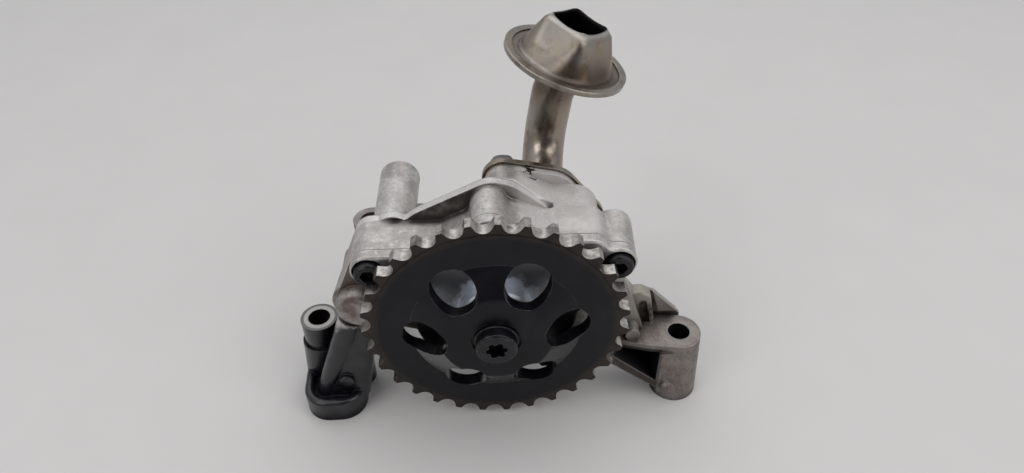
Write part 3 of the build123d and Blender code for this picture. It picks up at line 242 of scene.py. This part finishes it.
# ---------------------------------------------------------------- colours, linear light
ALLOY_LIGHT = (0.60, 0.585, 0.56)
ALLOY_SHADE = (0.40, 0.385, 0.365)
ALLOY_PINK = (0.60, 0.545, 0.53)
ALLOY_STAIN_AND_SHADE = (0.10, 0.078, 0.055)
ALLOY_BRIGHT = (0.80, 0.79, 0.77)
BLOCK_PAINTED_LIGHT = (0.74, 0.70, 0.685)
# Painted light and painted shade for the cover behind the sprocket.
SHAFT_PAINTED_LIGHT = (0.80, 0.84, 0.92)
COVER_SHADE = (0.34, 0.35, 0.38)
BACK_SHADE = (0.245, 0.22, 0.205)
OIL_BLACK_AND_SHADE = (0.006, 0.0055, 0.008)
OIL_GREY_AND_SHADE = (0.019, 0.0175, 0.022)
OIL_EDGE_HIGHLIGHT = (0.10, 0.092, 0.10)
SEALANT = (0.018, 0.014, 0.011)
GALLERY_STAIN_AND_SHADE = (0.13, 0.088, 0.072)
RECESS_PAINTED_SHADE = (0.070, 0.056, 0.050)
FOOT_GREY = (0.30, 0.27, 0.25)
FOOT_BROWN = (0.20, 0.168, 0.155)
FOOT_DIRT_AND_SHADE = (0.045, 0.032, 0.025)
BUTTRESS_PAINTED_LIGHT = (0.46, 0.425, 0.38)
BLACK_FINISH_AND_SHADE = (0.0040, 0.0036, 0.0062)
BLACK_WORN = (0.011, 0.010, 0.014)
TOOTH_BROWN = (0.035, 0.025, 0.019)
STEEL_WORN = (0.60, 0.575, 0.54)
STEEL_GREY = (0.30, 0.275, 0.25)
STEEL_STRAW = (0.34, 0.29, 0.225)
STEEL_BROWN = (0.085, 0.055, 0.034)
BOLT_GREY = (0.10, 0.097, 0.092)
WELD_BROWN = (0.14, 0.085, 0.035)
BRONZE = (0.42, 0.27, 0.12)
RUBBER = (0.015, 0.015, 0.016)

# ---------------------------------------------------------------- shine
ALLOY_METALLIC = 0.7
ALLOY_ROUGHNESS = (0.37, 0.50)      # least and most
OIL_ROUGHNESS = (0.16, 0.28)
PRESSED_METALLIC = 0.95
PRESSED_ROUGHNESS = (0.20, 0.32)
SPROCKET_ROUGHNESS = (0.26, 0.38)
SPROCKET_SPECULAR = 0.22
CAST_DEPTH = 0.12                   # depth of the castings' grain, millimetres

# ---------------------------------------------------------------- places on the part, millimetres
SHAFT = (0, 0)                      # x and z
GALLERY_NOSE = (-49, 3)             # x and z
GROOVE = (57.4, -16)                # x and z, between the buttress and the right foot
TUBE_FOOT = (19.7, 23.5)            # x and z
LEFT_BORE = (-68.6, 21.3)           # x and y
RIGHT_BORE = (71, 12.7)             # x and y
STRAINER_CENTRE = (28.5, 67.6, 66.6)
STRAINER_TILT = math.radians(18)

# Soft boxes: axis, the place where the mask is 0 and the place where it is 1, in millimetres.
COVER_JOINT = (("Y", 9.91, 10.01), ("Y", 10.29, 10.19))     # seam between cover and housing
WEB_RIM = (("Y", 25.25, 25.55), ("Y", 28.55, 28.25), ("Z", 4, 8), ("X", 21, 19))
RECESS = (("Y", 21, 24.5), ("Y", 25.4, 25.2), ("Z", 24, 27), ("X", -39.5, -34.5), ("X", -1.5, -6.5))
INLET_BLOCK = (("X", 7, 11), ("X", 40, 36), ("Z", 24, 28), ("Y", 10, 13))
SEALANT_REACH = (("Z", 32.6, 33.4), ("Y", 36.5, 37.5), ("Y", 41.5, 40.5))
NOSE_FRONT = (("Y", 15, 9),)
REAR_FOOT = (("Y", 24, 28), ("X", -38, -42), ("Z", 15, 12))
LEFT_FLANK = (("X", -48, -51), ("Y", 11, 14))
LEFT_LEG = (("X", -41, -45), ("Z", -5, -9))
LEFT_LEG_FRONT = (("Y", 42, 36),)
UNDERSIDE = (("Z", -16, -22), ("X", 40, 34))
LEFT_BOSS_TOP = (("Z", -18, -17),)
RIGHT_FOOT = (("X", 42, 47), ("Z", 8, 0))
RIGHT_RIB = (("X", 64, 62.5), ("Z", -23.6, -24.6))
RIGHT_BUTTRESS = (("Y", 11.5, 13), ("Z", -21.8, -20))
GROOVE_BACK = (("Y", 14, 16),)
POCKET_BACK = (("Y", 3.4, 5.5),)
WELD_FRONT = (("Y", 47, 46),)
SEALANT_LEAN = 0.35                 # the smear's slant, x against z
SEALANT_X = 26.9                    # x of the smear, carried down to z = 0


# ---------------------------------------------------------------- cast alloy
def cast_base(m):
    """Shared look of the castings: colour, edge mask, cloudy noise, bump height and rounded normal."""
    rounded, edge = m.soft_edges(0.7)
    cloud = m.noise(13, 4.0)
    mottle = m.noise(2.2, 6.0, 0.68)
    grain = m.noise(0.5, 4.0, 0.65)
    smear = m.noise(4.5, 5.0, 0.6, (1.0, 0.4, 1.0))
    colour = m.mix(m.ramp(cloud, 0.38, 0.62), ALLOY_SHADE, ALLOY_LIGHT)
    colour = m.mix(m.ramp(smear, 0.48, 0.7, 0.0, 0.6), colour, ALLOY_PINK)
    colour = m.mix(m.ramp(mottle, 0.50, 0.36, 0.0, 0.65), colour, ALLOY_SHADE)
    colour = m.mix(m.ramp(mottle, 0.54, 0.66, 0.0, 0.55), colour, ALLOY_BRIGHT)
    colour = m.mix(m.ramp(grain, 0.45, 0.28, 0.0, 0.6), colour, ALLOY_STAIN_AND_SHADE)
    # Darker in corners, set by ambient occlusion: partly dirt, partly painted shade.
    dirt_and_shade = m.product(m.crevice(3.5), m.patches(4, 0.3, 0.6, 0.35, 0.95))
    colour = m.mix(dirt_and_shade, colour, ALLOY_STAIN_AND_SHADE)
    worn = m.product(edge, m.patches(1.2, 0.35, 0.6, 0.25, 1.0))
    colour = m.mix(worn, colour, ALLOY_BRIGHT)
    seam = m.product(m.region(COVER_JOINT), m.patches(3, 0.2, 0.5, 0.5, 1.0), 0.85)
    colour = m.mix(seam, colour, ALLOY_STAIN_AND_SHADE)
    height = m.total(m.product(grain, 0.5), m.product(m.cells(1.0), 0.3))
    height = m.total(height, m.product(mottle, 1.3))
    return colour, edge, cloud, height, rounded


def cover_alloy(name):
    """Front cover: painted light around the shaft with painted shade farther out, and painted shade in black
    low down behind the sprocket.
    """
    m = Material(name)
    colour, _, cloud, height, rounded = cast_base(m)
    # Painted light on the shaft boss seen through the sprocket's windows, and painted shade farther out.
    near = m.total(m.around(SHAFT), m.waver(6, 3, detail=4.0))
    painted_light_and_shade = m.mix(m.step(near, 15, 19), SHAFT_PAINTED_LIGHT, COVER_SHADE)
    colour = m.mix(m.disc(SHAFT, 36, 30), colour, painted_light_and_shade)
    # Painted shade: the cover low down behind the sprocket is painted black and made less metallic.
    low = m.step(m.total(m.along("Z"), m.waver(4, 3, 0.2, 0.8)), 3, -3)
    colour = m.mix(m.product(low, m.disc(SHAFT, 46, 40)), colour, OIL_BLACK_AND_SHADE)
    m.set(
        Base_Color=colour,
        Metallic=m.ramp(low, 0.2, 0.8, ALLOY_METALLIC, 0.1),
        Roughness=m.ramp(cloud, 0.3, 0.7, *ALLOY_ROUGHNESS),
        Normal=m.bump(height, CAST_DEPTH, rounded),
    )
    return m.material


def housing_marks(m, colour, rim, block_light):
    """Tones of the housing's upper part: web, painted shade in the recess, painted light on the inlet block's
    top, sealant, gallery stain with painted shade, and painted shade on the left rear and left flank.
    """
    colour = m.mix(m.product(rim, 0.6), colour, ALLOY_BRIGHT)
    # Painted shade in the recess under the web rim.
    recess_shade = m.product(m.region(RECESS), m.patches(5, 0.25, 0.6, 0.6, 0.95))
    colour = m.mix(recess_shade, colour, RECESS_PAINTED_SHADE)
    # Painted light: the inlet block's top is painted lighter.
    colour = m.mix(m.product(block_light, 0.55), colour, BLOCK_PAINTED_LIGHT)
    slant = m.total(m.along("X"), m.product(m.along("Z"), SEALANT_LEAN))
    aside = m.maths("ABSOLUTE", m.maths("SUBTRACT", slant, SEALANT_X * MM))
    aside = m.total(aside, m.waver(1.7, 1.6, 0.25, 0.75))
    smear = m.product(m.step(aside, 1.2, 0.8), m.region(SEALANT_REACH))
    colour = m.mix(smear, colour, SEALANT)
    # Brown stain on the gallery's front, darkened further as painted shade.
    nose_stain_and_shade = m.product(m.disc(GALLERY_NOSE, 12, 8.5), m.region(NOSE_FRONT), m.patches(7, 0.35, 0.65, 0.25, 0.9))
    colour = m.mix(nose_stain_and_shade, colour, GALLERY_STAIN_AND_SHADE)
    # Painted shade on the left rear, behind the relief barrel.
    rear = m.product(m.region(REAR_FOOT), m.patches(5, 0.3, 0.6, 0.65, 0.95))
    colour = m.mix(rear, colour, BACK_SHADE)
    # Painted shade on faces that look left.
    flank_shade = m.product(m.ramp(m.facing("X"), -0.5, -0.9), m.region(LEFT_FLANK), 0.75)
    return m.mix(flank_shade, colour, BACK_SHADE)


def oil_and_underside_shade(m, colour, oily, edge):
    """Black oil on the left leg, and the same dark tone as painted shade on the underside."""
    tone = m.mix(m.patches(5, 0.35, 0.7), OIL_BLACK_AND_SHADE, OIL_GREY_AND_SHADE)
    # Painted highlight along the oily edges.
    tone = m.mix(m.product(edge, 0.5), tone, OIL_EDGE_HIGHLIGHT)
    colour = m.mix(oily, colour, tone)
    # Painted shade under the housing, in the oil's tone.
    return m.mix(m.product(m.region(UNDERSIDE), 0.8), colour, tone)


def right_foot(m, edge, rib):
    """Brownish tone of the right foot, with its dark rib, painted light on its buttress and dirt with painted
    shade in its corners.
    """
    tone = m.mix(m.patches(5, 0.3, 0.7, detail=5.0), FOOT_BROWN, FOOT_GREY)
    tone = m.mix(m.patches(0.7, 0.5, 0.3, 0.0, 0.5, 4.0), tone, FOOT_DIRT_AND_SHADE)
    tone = m.mix(m.product(rib, 0.82), tone, FOOT_DIRT_AND_SHADE)
    tone = m.mix(m.product(edge, 0.55), tone, ALLOY_LIGHT)
    # Painted light: the buttress is painted lighter.
    buttress_light = m.region(RIGHT_BUTTRESS)
    tone = m.mix(m.product(buttress_light, 0.75), tone, BUTTRESS_PAINTED_LIGHT)
    # Dirt and painted shade in the corners, set by ambient occlusion.
    grime_and_shade = m.product(m.crevice(4), m.ramp(buttress_light, 0.0, 1.0, 0.8, 0.45))
    return m.mix(grime_and_shade, tone, FOOT_DIRT_AND_SHADE)


def housing_alloy(name):
    """Housing: cast alloy, a black oily left leg, a brownish right foot, machined tops around the bores, and
    painted light and shade in places.
    """
    m = Material(name)
    colour, edge, cloud, height, rounded = cast_base(m)
    waver = m.waver(6, 3, 0.2, 0.8)
    rim = m.region(WEB_RIM)
    block_light = m.region(INLET_BLOCK)
    colour = housing_marks(m, colour, rim, block_light)
    oily = m.product(m.region(LEFT_LEG, waver), m.region(LEFT_LEG_FRONT))
    colour = oil_and_underside_shade(m, colour, oily, edge)
    foot = m.region(RIGHT_FOOT, waver)
    rib = m.region(RIGHT_RIB)
    colour = m.mix(foot, colour, right_foot(m, edge, rib))
    groove = m.product(m.disc(GROOVE, 6.5, 3.5), m.region(GROOVE_BACK), m.patches(2, 0.3, 0.6, 0.5, 1.0))
    colour = m.mix(m.product(groove, 0.85), colour, FOOT_DIRT_AND_SHADE)
    # Painted shade: the pocket behind the rib and the walls of the right bore are painted black.
    pocket = m.product(rib, foot, m.region(POCKET_BACK))
    bore = m.product(m.disc(RIGHT_BORE, 4.6, 4.35, "XY"), m.ramp(m.facing("Z"), 0.6, 0.3))
    painted_hole_shade = m.maths("MAXIMUM", pocket, bore)
    colour = m.mix(painted_hole_shade, colour, OIL_BLACK_AND_SHADE)
    left_top = m.product(
        m.disc(LEFT_BORE, 9, 8.6, "XY"), m.ramp(m.facing("Z"), 0.3, 0.6), m.region(LEFT_BOSS_TOP)
    )
    ring = m.step(m.around(LEFT_BORE, "XY"), 6.1, 5.8, 0.25, 0.65)
    colour = m.mix(m.product(left_top, ring), colour, ALLOY_LIGHT)
    right_top = m.product(m.disc(RIGHT_BORE, 8, 6.5, "XY"), m.ramp(m.facing("Z"), 0.5, 0.85), 0.15)
    colour = m.mix(right_top, colour, ALLOY_LIGHT)
    wet = m.product(oily, m.ramp(left_top, 0.6, 0.2))
    # Less metallic where the inlet block's top is painted lighter.
    bare = m.maths("SUBTRACT", ALLOY_METALLIC, m.product(block_light, 0.4))
    sheen = m.ramp(m.crevice(9), 0.0, 0.7, 0.6, 0.03)
    dry_roughness = m.total(m.ramp(cloud, 0.3, 0.7, *ALLOY_ROUGHNESS), m.product(foot, 0.05))
    height = m.total(height, m.product(rim, m.noise(1.1), 2.5))
    height = m.product(height, m.ramp(wet, 0.2, 0.8, 1.0, 0.35))
    m.set(
        Base_Color=colour,
        Metallic=m.product(bare, m.ramp(wet, 0.8, 0.2), m.ramp(painted_hole_shade, 0.8, 0.2)),
        Specular_IOR_Level=m.blend(wet, 0.5, sheen),
        Roughness=m.blend(wet, dry_roughness, m.ramp(cloud, 0.3, 0.7, *OIL_ROUGHNESS)),
        Normal=m.bump(height, CAST_DEPTH, rounded),
    )
    return m.material


# ---------------------------------------------------------------- steel
def black_steel(name, shine=0.36, worn=STEEL_GREY, tone=BLACK_FINISH_AND_SHADE):
    """Blackened steel with bare metal showing through on the edges."""
    m = Material(name)
    rounded, edge = m.soft_edges(0.25)
    cloud = m.noise(5, 4.0)
    lighter = tuple(2.6 * part for part in tone)
    colour = m.mix(m.ramp(cloud, 0.4, 0.75), tone, lighter)
    colour = m.mix(m.patches(2.5, 0.55, 0.8, 0.0, 0.6), colour, TOOTH_BROWN)
    rubbed = m.product(edge, m.patches(2, 0.4, 0.65, 0.1, 0.7))
    m.set(
        Base_Color=m.mix(rubbed, colour, worn),
        Metallic=0.25,
        Roughness=m.ramp(cloud, 0.3, 0.7, shine - 0.06, shine + 0.08),
        Normal=m.bump(m.noise(0.25, 2.0), 0.02, rounded),
    )
    return m.material


def sprocket_steel(name):
    """Black sprocket with browned tooth faces and tooth gaps polished by the chain."""
    m = Material(name)
    rounded, edge = m.soft_edges(0.3)
    cloud = m.noise(12, 4.0)
    radius = m.around(SHAFT)
    side = m.maths("ABSOLUTE", m.facing("Y"))
    colour = m.mix(m.ramp(cloud, 0.4, 0.8), BLACK_FINISH_AND_SHADE, BLACK_WORN)
    colour = m.mix(m.patches(1.2, 0.66, 0.8, 0.0, 0.5), colour, TOOTH_BROWN)
    stained = m.product(m.step(radius, 40.5, 43.5), m.patches(4, 0.3, 0.6, 0.35, 0.8))
    colour = m.mix(stained, colour, TOOTH_BROWN)
    teeth = m.step(radius, 43.4, 43.9)
    gap = m.product(teeth, m.ramp(side, 0.6, 0.2))
    land = m.step(radius, 47.15, 47.4)
    polished = m.product(gap, m.patches(2.5, 0.25, 0.6, 0.35, 1.0), m.ramp(land, 0.0, 1.0, 1.0, 0.75))
    colour = m.mix(polished, colour, STEEL_WORN)
    window_edges = m.product(edge, m.step(radius, 34, 32), m.patches(6, 0.4, 0.6, 0.1, 0.8))
    colour = m.mix(window_edges, colour, STEEL_GREY)
    tooth_edges = m.product(edge, teeth, m.patches(1.5, 0.4, 0.6, 0.1, 0.5))
    colour = m.mix(tooth_edges, colour, STEEL_GREY)
    dish = m.product(m.ramp(side, 0.97, 0.93), m.step(radius, 35, 33), m.step(m.along("Z"), -3, -8))
    dish = m.product(dish, m.step(m.along("X"), 4, -14, 0.25, 1.0))
    m.set(
        Base_Color=colour,
        Metallic=m.ramp(gap, 0.1, 0.6),
        Specular_IOR_Level=m.ramp(dish, 0.0, 1.0, SPROCKET_SPECULAR, 2.0),
        Roughness=m.blend(dish, m.ramp(cloud, 0.3, 0.7, *SPROCKET_ROUGHNESS), 0.2),
        Normal=m.bump(m.noise(0.3), 0.02, rounded),
    )
    return m.material


def pressed_base(m, edge_radius):
    """Pressed steel, straw-coloured and browned by heat and oil, with painted shade in its corners: colour,
    roughness and normal.
    """
    rounded, edge = m.soft_edges(edge_radius)
    cloud = m.noise(9, 4.0)
    scratch = m.noise(0.5, stretch=(1, 1, 0.15))
    colour = m.mix(m.ramp(cloud, 0.35, 0.7), STEEL_GREY, STEEL_STRAW)
    colour = m.mix(m.patches(5, 0.5, 0.75, 0.0, 0.6, 5.0), colour, STEEL_BROWN)
    # Brown in the corners, set by ambient occlusion: oil dirt and painted shade.
    colour = m.mix(m.product(m.crevice(5), 0.9), colour, STEEL_BROWN)
    colour = m.mix(m.product(edge, 0.6), colour, STEEL_WORN)
    roughness = m.ramp(cloud, 0.3, 0.7, *PRESSED_ROUGHNESS)
    return colour, roughness, m.bump(scratch, 0.012, rounded)


def pressed_steel(name, edge_radius):
    m = Material(name)
    colour, roughness, normal = pressed_base(m, edge_radius)
    m.set(Base_Color=colour, Metallic=PRESSED_METALLIC, Roughness=roughness, Normal=normal)
    return m.material


def tube_steel(name):
    """Suction tube, with a rough brown weld bead where it meets its flange."""
    m = Material(name)
    colour, roughness, normal = pressed_base(m, 0.3)
    # Painted shadow under the strainer's brim.
    brim_shadow = m.step(m.along("Z"), 46, 60, 0.0, 0.7)
    colour = m.mix(brim_shadow, colour, STEEL_BROWN)
    bead = m.product(m.disc(TUBE_FOOT, 8.0, 8.3), m.region(WELD_FRONT))
    lumps = m.noise(1.1)
    colour = m.mix(bead, colour, m.mix(m.ramp(lumps, 0.35, 0.65), STEEL_BROWN, WELD_BROWN))
    m.set(
        Base_Color=colour,
        Metallic=m.ramp(bead, 0.2, 0.8, PRESSED_METALLIC, 0.3),
        Roughness=m.blend(bead, roughness, 0.55),
        Normal=m.bump(m.product(lumps, bead), 0.5, normal),
    )
    return m.material


def crown_steel(name):
    """Strainer crown, with painted shade in black inside its mouth and browner low on its right."""
    m = Material(name)
    colour, roughness, normal = pressed_base(m, 2.6)
    # Browner low on the right front of the crown.
    lower = m.step(m.total(m.along("Z"), m.product(m.along("X"), 0.3)), 88, 76)
    browner_low_right = m.product(lower, m.step(m.along("X"), 18, 27), m.step(m.along("Y"), 66, 56), 0.75)
    colour = m.mix(browner_low_right, colour, STEEL_BROWN)
    axis = (math.sin(STRAINER_TILT), 0.0, math.cos(STRAINER_TILT))
    # Painted shade: faces that look into the mouth are painted black.
    mouth_shade = m.turned_inwards(STRAINER_CENTRE, axis)
    m.set(
        Base_Color=m.mix(mouth_shade, colour, BLACK_FINISH_AND_SHADE),
        Metallic=m.ramp(mouth_shade, 0.2, 0.8, PRESSED_METALLIC, 0.1),
        Roughness=m.blend(mouth_shade, m.total(roughness, 0.09), 0.5),
        Normal=normal,
    )
    return m.material


def plain_metal(name, tone, roughness, metallic=1.0):
    """Turned or ground metal with fine marks."""
    m = Material(name)
    rounded, _ = m.soft_edges(0.2)
    marks = m.noise(0.4, stretch=(1, 0.1, 1))
    darker = tuple(0.6 * part for part in tone)
    m.set(
        Base_Color=m.mix(m.patches(4, 0.3, 0.7), darker, tone),
        Metallic=metallic,
        Roughness=m.ramp(marks, 0.3, 0.7, roughness - 0.05, roughness + 0.08),
        Normal=m.bump(marks, 0.01, rounded),
    )
    return m.material


# ---------------------------------------------------------------- dressing
def dress():
    """Give every CAD node its finish."""
    black = black_steel("black_bolt_finish")
    ground = plain_metal("ground_steel", STEEL_WORN, 0.25)
    finishes = {
        "front_cover": cover_alloy("cast_alloy_cover"),
        "pump_housing": housing_alloy("cast_alloy_housing"),
        "chain_sprocket": sprocket_steel("sprocket_steel"),
        "sprocket_bolt": black,
        "cover_screws": black,
        "cover_washers": black,
        "pickup_bolts": black_steel("grey_bolt_finish", 0.34, STEEL_WORN, BOLT_GREY),
        "pickup_tube": tube_steel("tube_steel"),
        "pickup_flange": pressed_steel("flange_steel", 0.4),
        "strainer_base": pressed_steel("brim_steel", 0.9),
        "strainer_cup": crown_steel("crown_steel"),
        "strainer_screen": plain_metal("screen_wire", STEEL_BROWN, 0.4),
        "drive_shaft": ground,
        "cover_dowels": ground,
        "relief_pin": ground,
        "relief_piston": ground,
        "relief_plug": ground,
        "inner_rotor": plain_metal("sintered_steel", STEEL_GREY, 0.45),
        "outer_rotor": plain_metal("sintered_ring", STEEL_GREY, 0.45),
        "relief_spring": plain_metal("spring_wire", STEEL_GREY, 0.35),
        "front_bush": plain_metal("bearing_bronze", BRONZE, 0.35),
        "rear_bush": plain_metal("bearing_bronze_rear", BRONZE, 0.35),
        "pickup_seal": plain_metal("seal_rubber", RUBBER, 0.6, 0.0),
    }
    for name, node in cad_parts.items():
        node.data.materials.clear()
        node.data.materials.append(finishes[name])


# ---------------------------------------------------------------- relief spring
SPRING_X = -36.0 * MM
SPRING_Z = 21.7 * MM
SPRING_FRONT = 36.0 * MM        # on the piston's floor at rest
SPRING_BACK = 52.4 * MM         # on the plug
SPRING_RADIUS = 2.96 * MM       # to the middle of the wire
SPRING_WIRE_RADIUS = 0.55 * MM
SPRING_TURNS = 7
SPRING_STEPS = 36               # rings of vertices in a turn
WIRE_SIDES = 12


def coil_points():
    """Vertices of the coil: a ring around the wire at each step from its front end to its back end."""
    steps = SPRING_TURNS * SPRING_STEPS
    start = SPRING_FRONT + SPRING_WIRE_RADIUS
    climb = (SPRING_BACK - SPRING_WIRE_RADIUS - start) / steps
    points = []
    for step in range(steps + 1):
        turn = 2 * math.pi * step / SPRING_STEPS
        outwards = Vector((math.cos(turn), 0, math.sin(turn)))
        middle = Vector((SPRING_X, start + climb * step, SPRING_Z)) + SPRING_RADIUS * outwards
        for side in range(WIRE_SIDES):
            angle = 2 * math.pi * side / WIRE_SIDES
            across = math.cos(angle) * outwards + math.sin(angle) * Vector((0, 1, 0))
            points.append(tuple(middle + SPRING_WIRE_RADIUS * across))
    return points


def coil_faces():
    """Faces between the rings, and a cap at each end."""
    last = SPRING_TURNS * SPRING_STEPS * WIRE_SIDES
    faces = []
    for ring in range(0, last, WIRE_SIDES):
        for side in range(WIRE_SIDES):
            here = ring + side
            beside = ring + (side + 1) % WIRE_SIDES
            faces.append((here, beside, beside + WIRE_SIDES, here + WIRE_SIDES))
    faces.append(tuple(reversed(range(WIRE_SIDES))))
    faces.append(tuple(range(last, last + WIRE_SIDES)))
    return faces


def add_spring():
    """The relief spring again, as a coil mesh on the pump body."""
    mesh = bpy.data.meshes.new("relief_coil")
    mesh.from_pydata(coil_points(), [], coil_faces())
    mesh.shade_smooth()
    mesh.materials.append(plain_metal("coil_wire", STEEL_GREY, 0.35))
    coil = bpy.data.objects.new("relief_coil", mesh)
    bpy.context.scene.collection.objects.link(coil)
    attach(coil, "pump_body")
    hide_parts("relief_spring")
    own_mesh(coil)


# ---------------------------------------------------------------- floor, lamps, world
FLOOR_Z = -0.050
FLOOR_SIZE = 6.0
FLOOR_TONES = ((0.64, 0.63, 0.62), (0.68, 0.67, 0.66))
LAMPS = {
    # name: place, width and height, power in watts; each lamp looks at the origin
    "top_softbox": ((0.12, 0.32, 0.95), (1.3, 0.9), 3.0),
    "left_softbox": ((-0.60, -0.48, 0.75), (0.6, 0.5), 2.2),
    "front_softbox": ((0.62, -0.45, 0.75), (0.6, 0.5), 1.6),
    "right_softbox": ((0.80, -0.42, 0.24), (0.30, 0.25), 0.35),
}
SKY_TONE = (0.98, 0.98, 1.0)
SIDE_TONE = (0.55, 0.55, 0.57)
ROOM_TONE = (0.13, 0.122, 0.125)
ROOM_DIRECTION = (0.0, -0.80, 0.60)     # where the room is dark, in front and above
WORLD_STRENGTH = 0.72


def add_floor():
    """Plain pale paper."""
    bpy.ops.mesh.primitive_plane_add(size=FLOOR_SIZE, location=(0, 0, FLOOR_Z))
    floor = bpy.context.object
    floor.name = "floor"
    m = Material("floor_paper")
    m.set(Base_Color=m.mix(m.noise(40, 2.0), *FLOOR_TONES), Roughness=0.8)
    floor.data.materials.append(m.material)


def add_lamps():
    """Soft boxes around the part."""
    for name, (place, size, power) in LAMPS.items():
        data = bpy.data.lights.new(name, "AREA")
        data.shape = "RECTANGLE"
        data.size, data.size_y = size
        data.energy = power
        lamp = bpy.data.objects.new(name, data)
        lamp.location = place
        lamp.rotation_euler = (-Vector(place)).to_track_quat("-Z", "Y").to_euler()
        bpy.context.scene.collection.objects.link(lamp)


def add_world():
    """Room light: bright overhead, dim at the sides and dark where someone stands in front."""
    world = bpy.data.worlds.new("studio")
    world.use_nodes = True
    nodes = Nodes(world.node_tree)
    direction = nodes.node("ShaderNodeTexCoord").outputs["Generated"]
    sky = nodes.mix(nodes.ramp(nodes.part(direction, "Z"), 0.1, 0.7), SIDE_TONE, SKY_TONE)
    room = nodes.ramp(nodes.vector_maths("DOT_PRODUCT", direction, ROOM_DIRECTION), 0.55, 0.90)
    background = world.node_tree.nodes["Background"]
    nodes.put(background.inputs["Strength"], WORLD_STRENGTH)
    nodes.put(background.inputs["Color"], nodes.mix(room, sky, ROOM_TONE))
    bpy.context.scene.world = world


add_camera()
dress()
add_spring()
add_floor()
add_lamps()
add_world()
bpy.context.scene.view_settings.view_transform = "Standard"
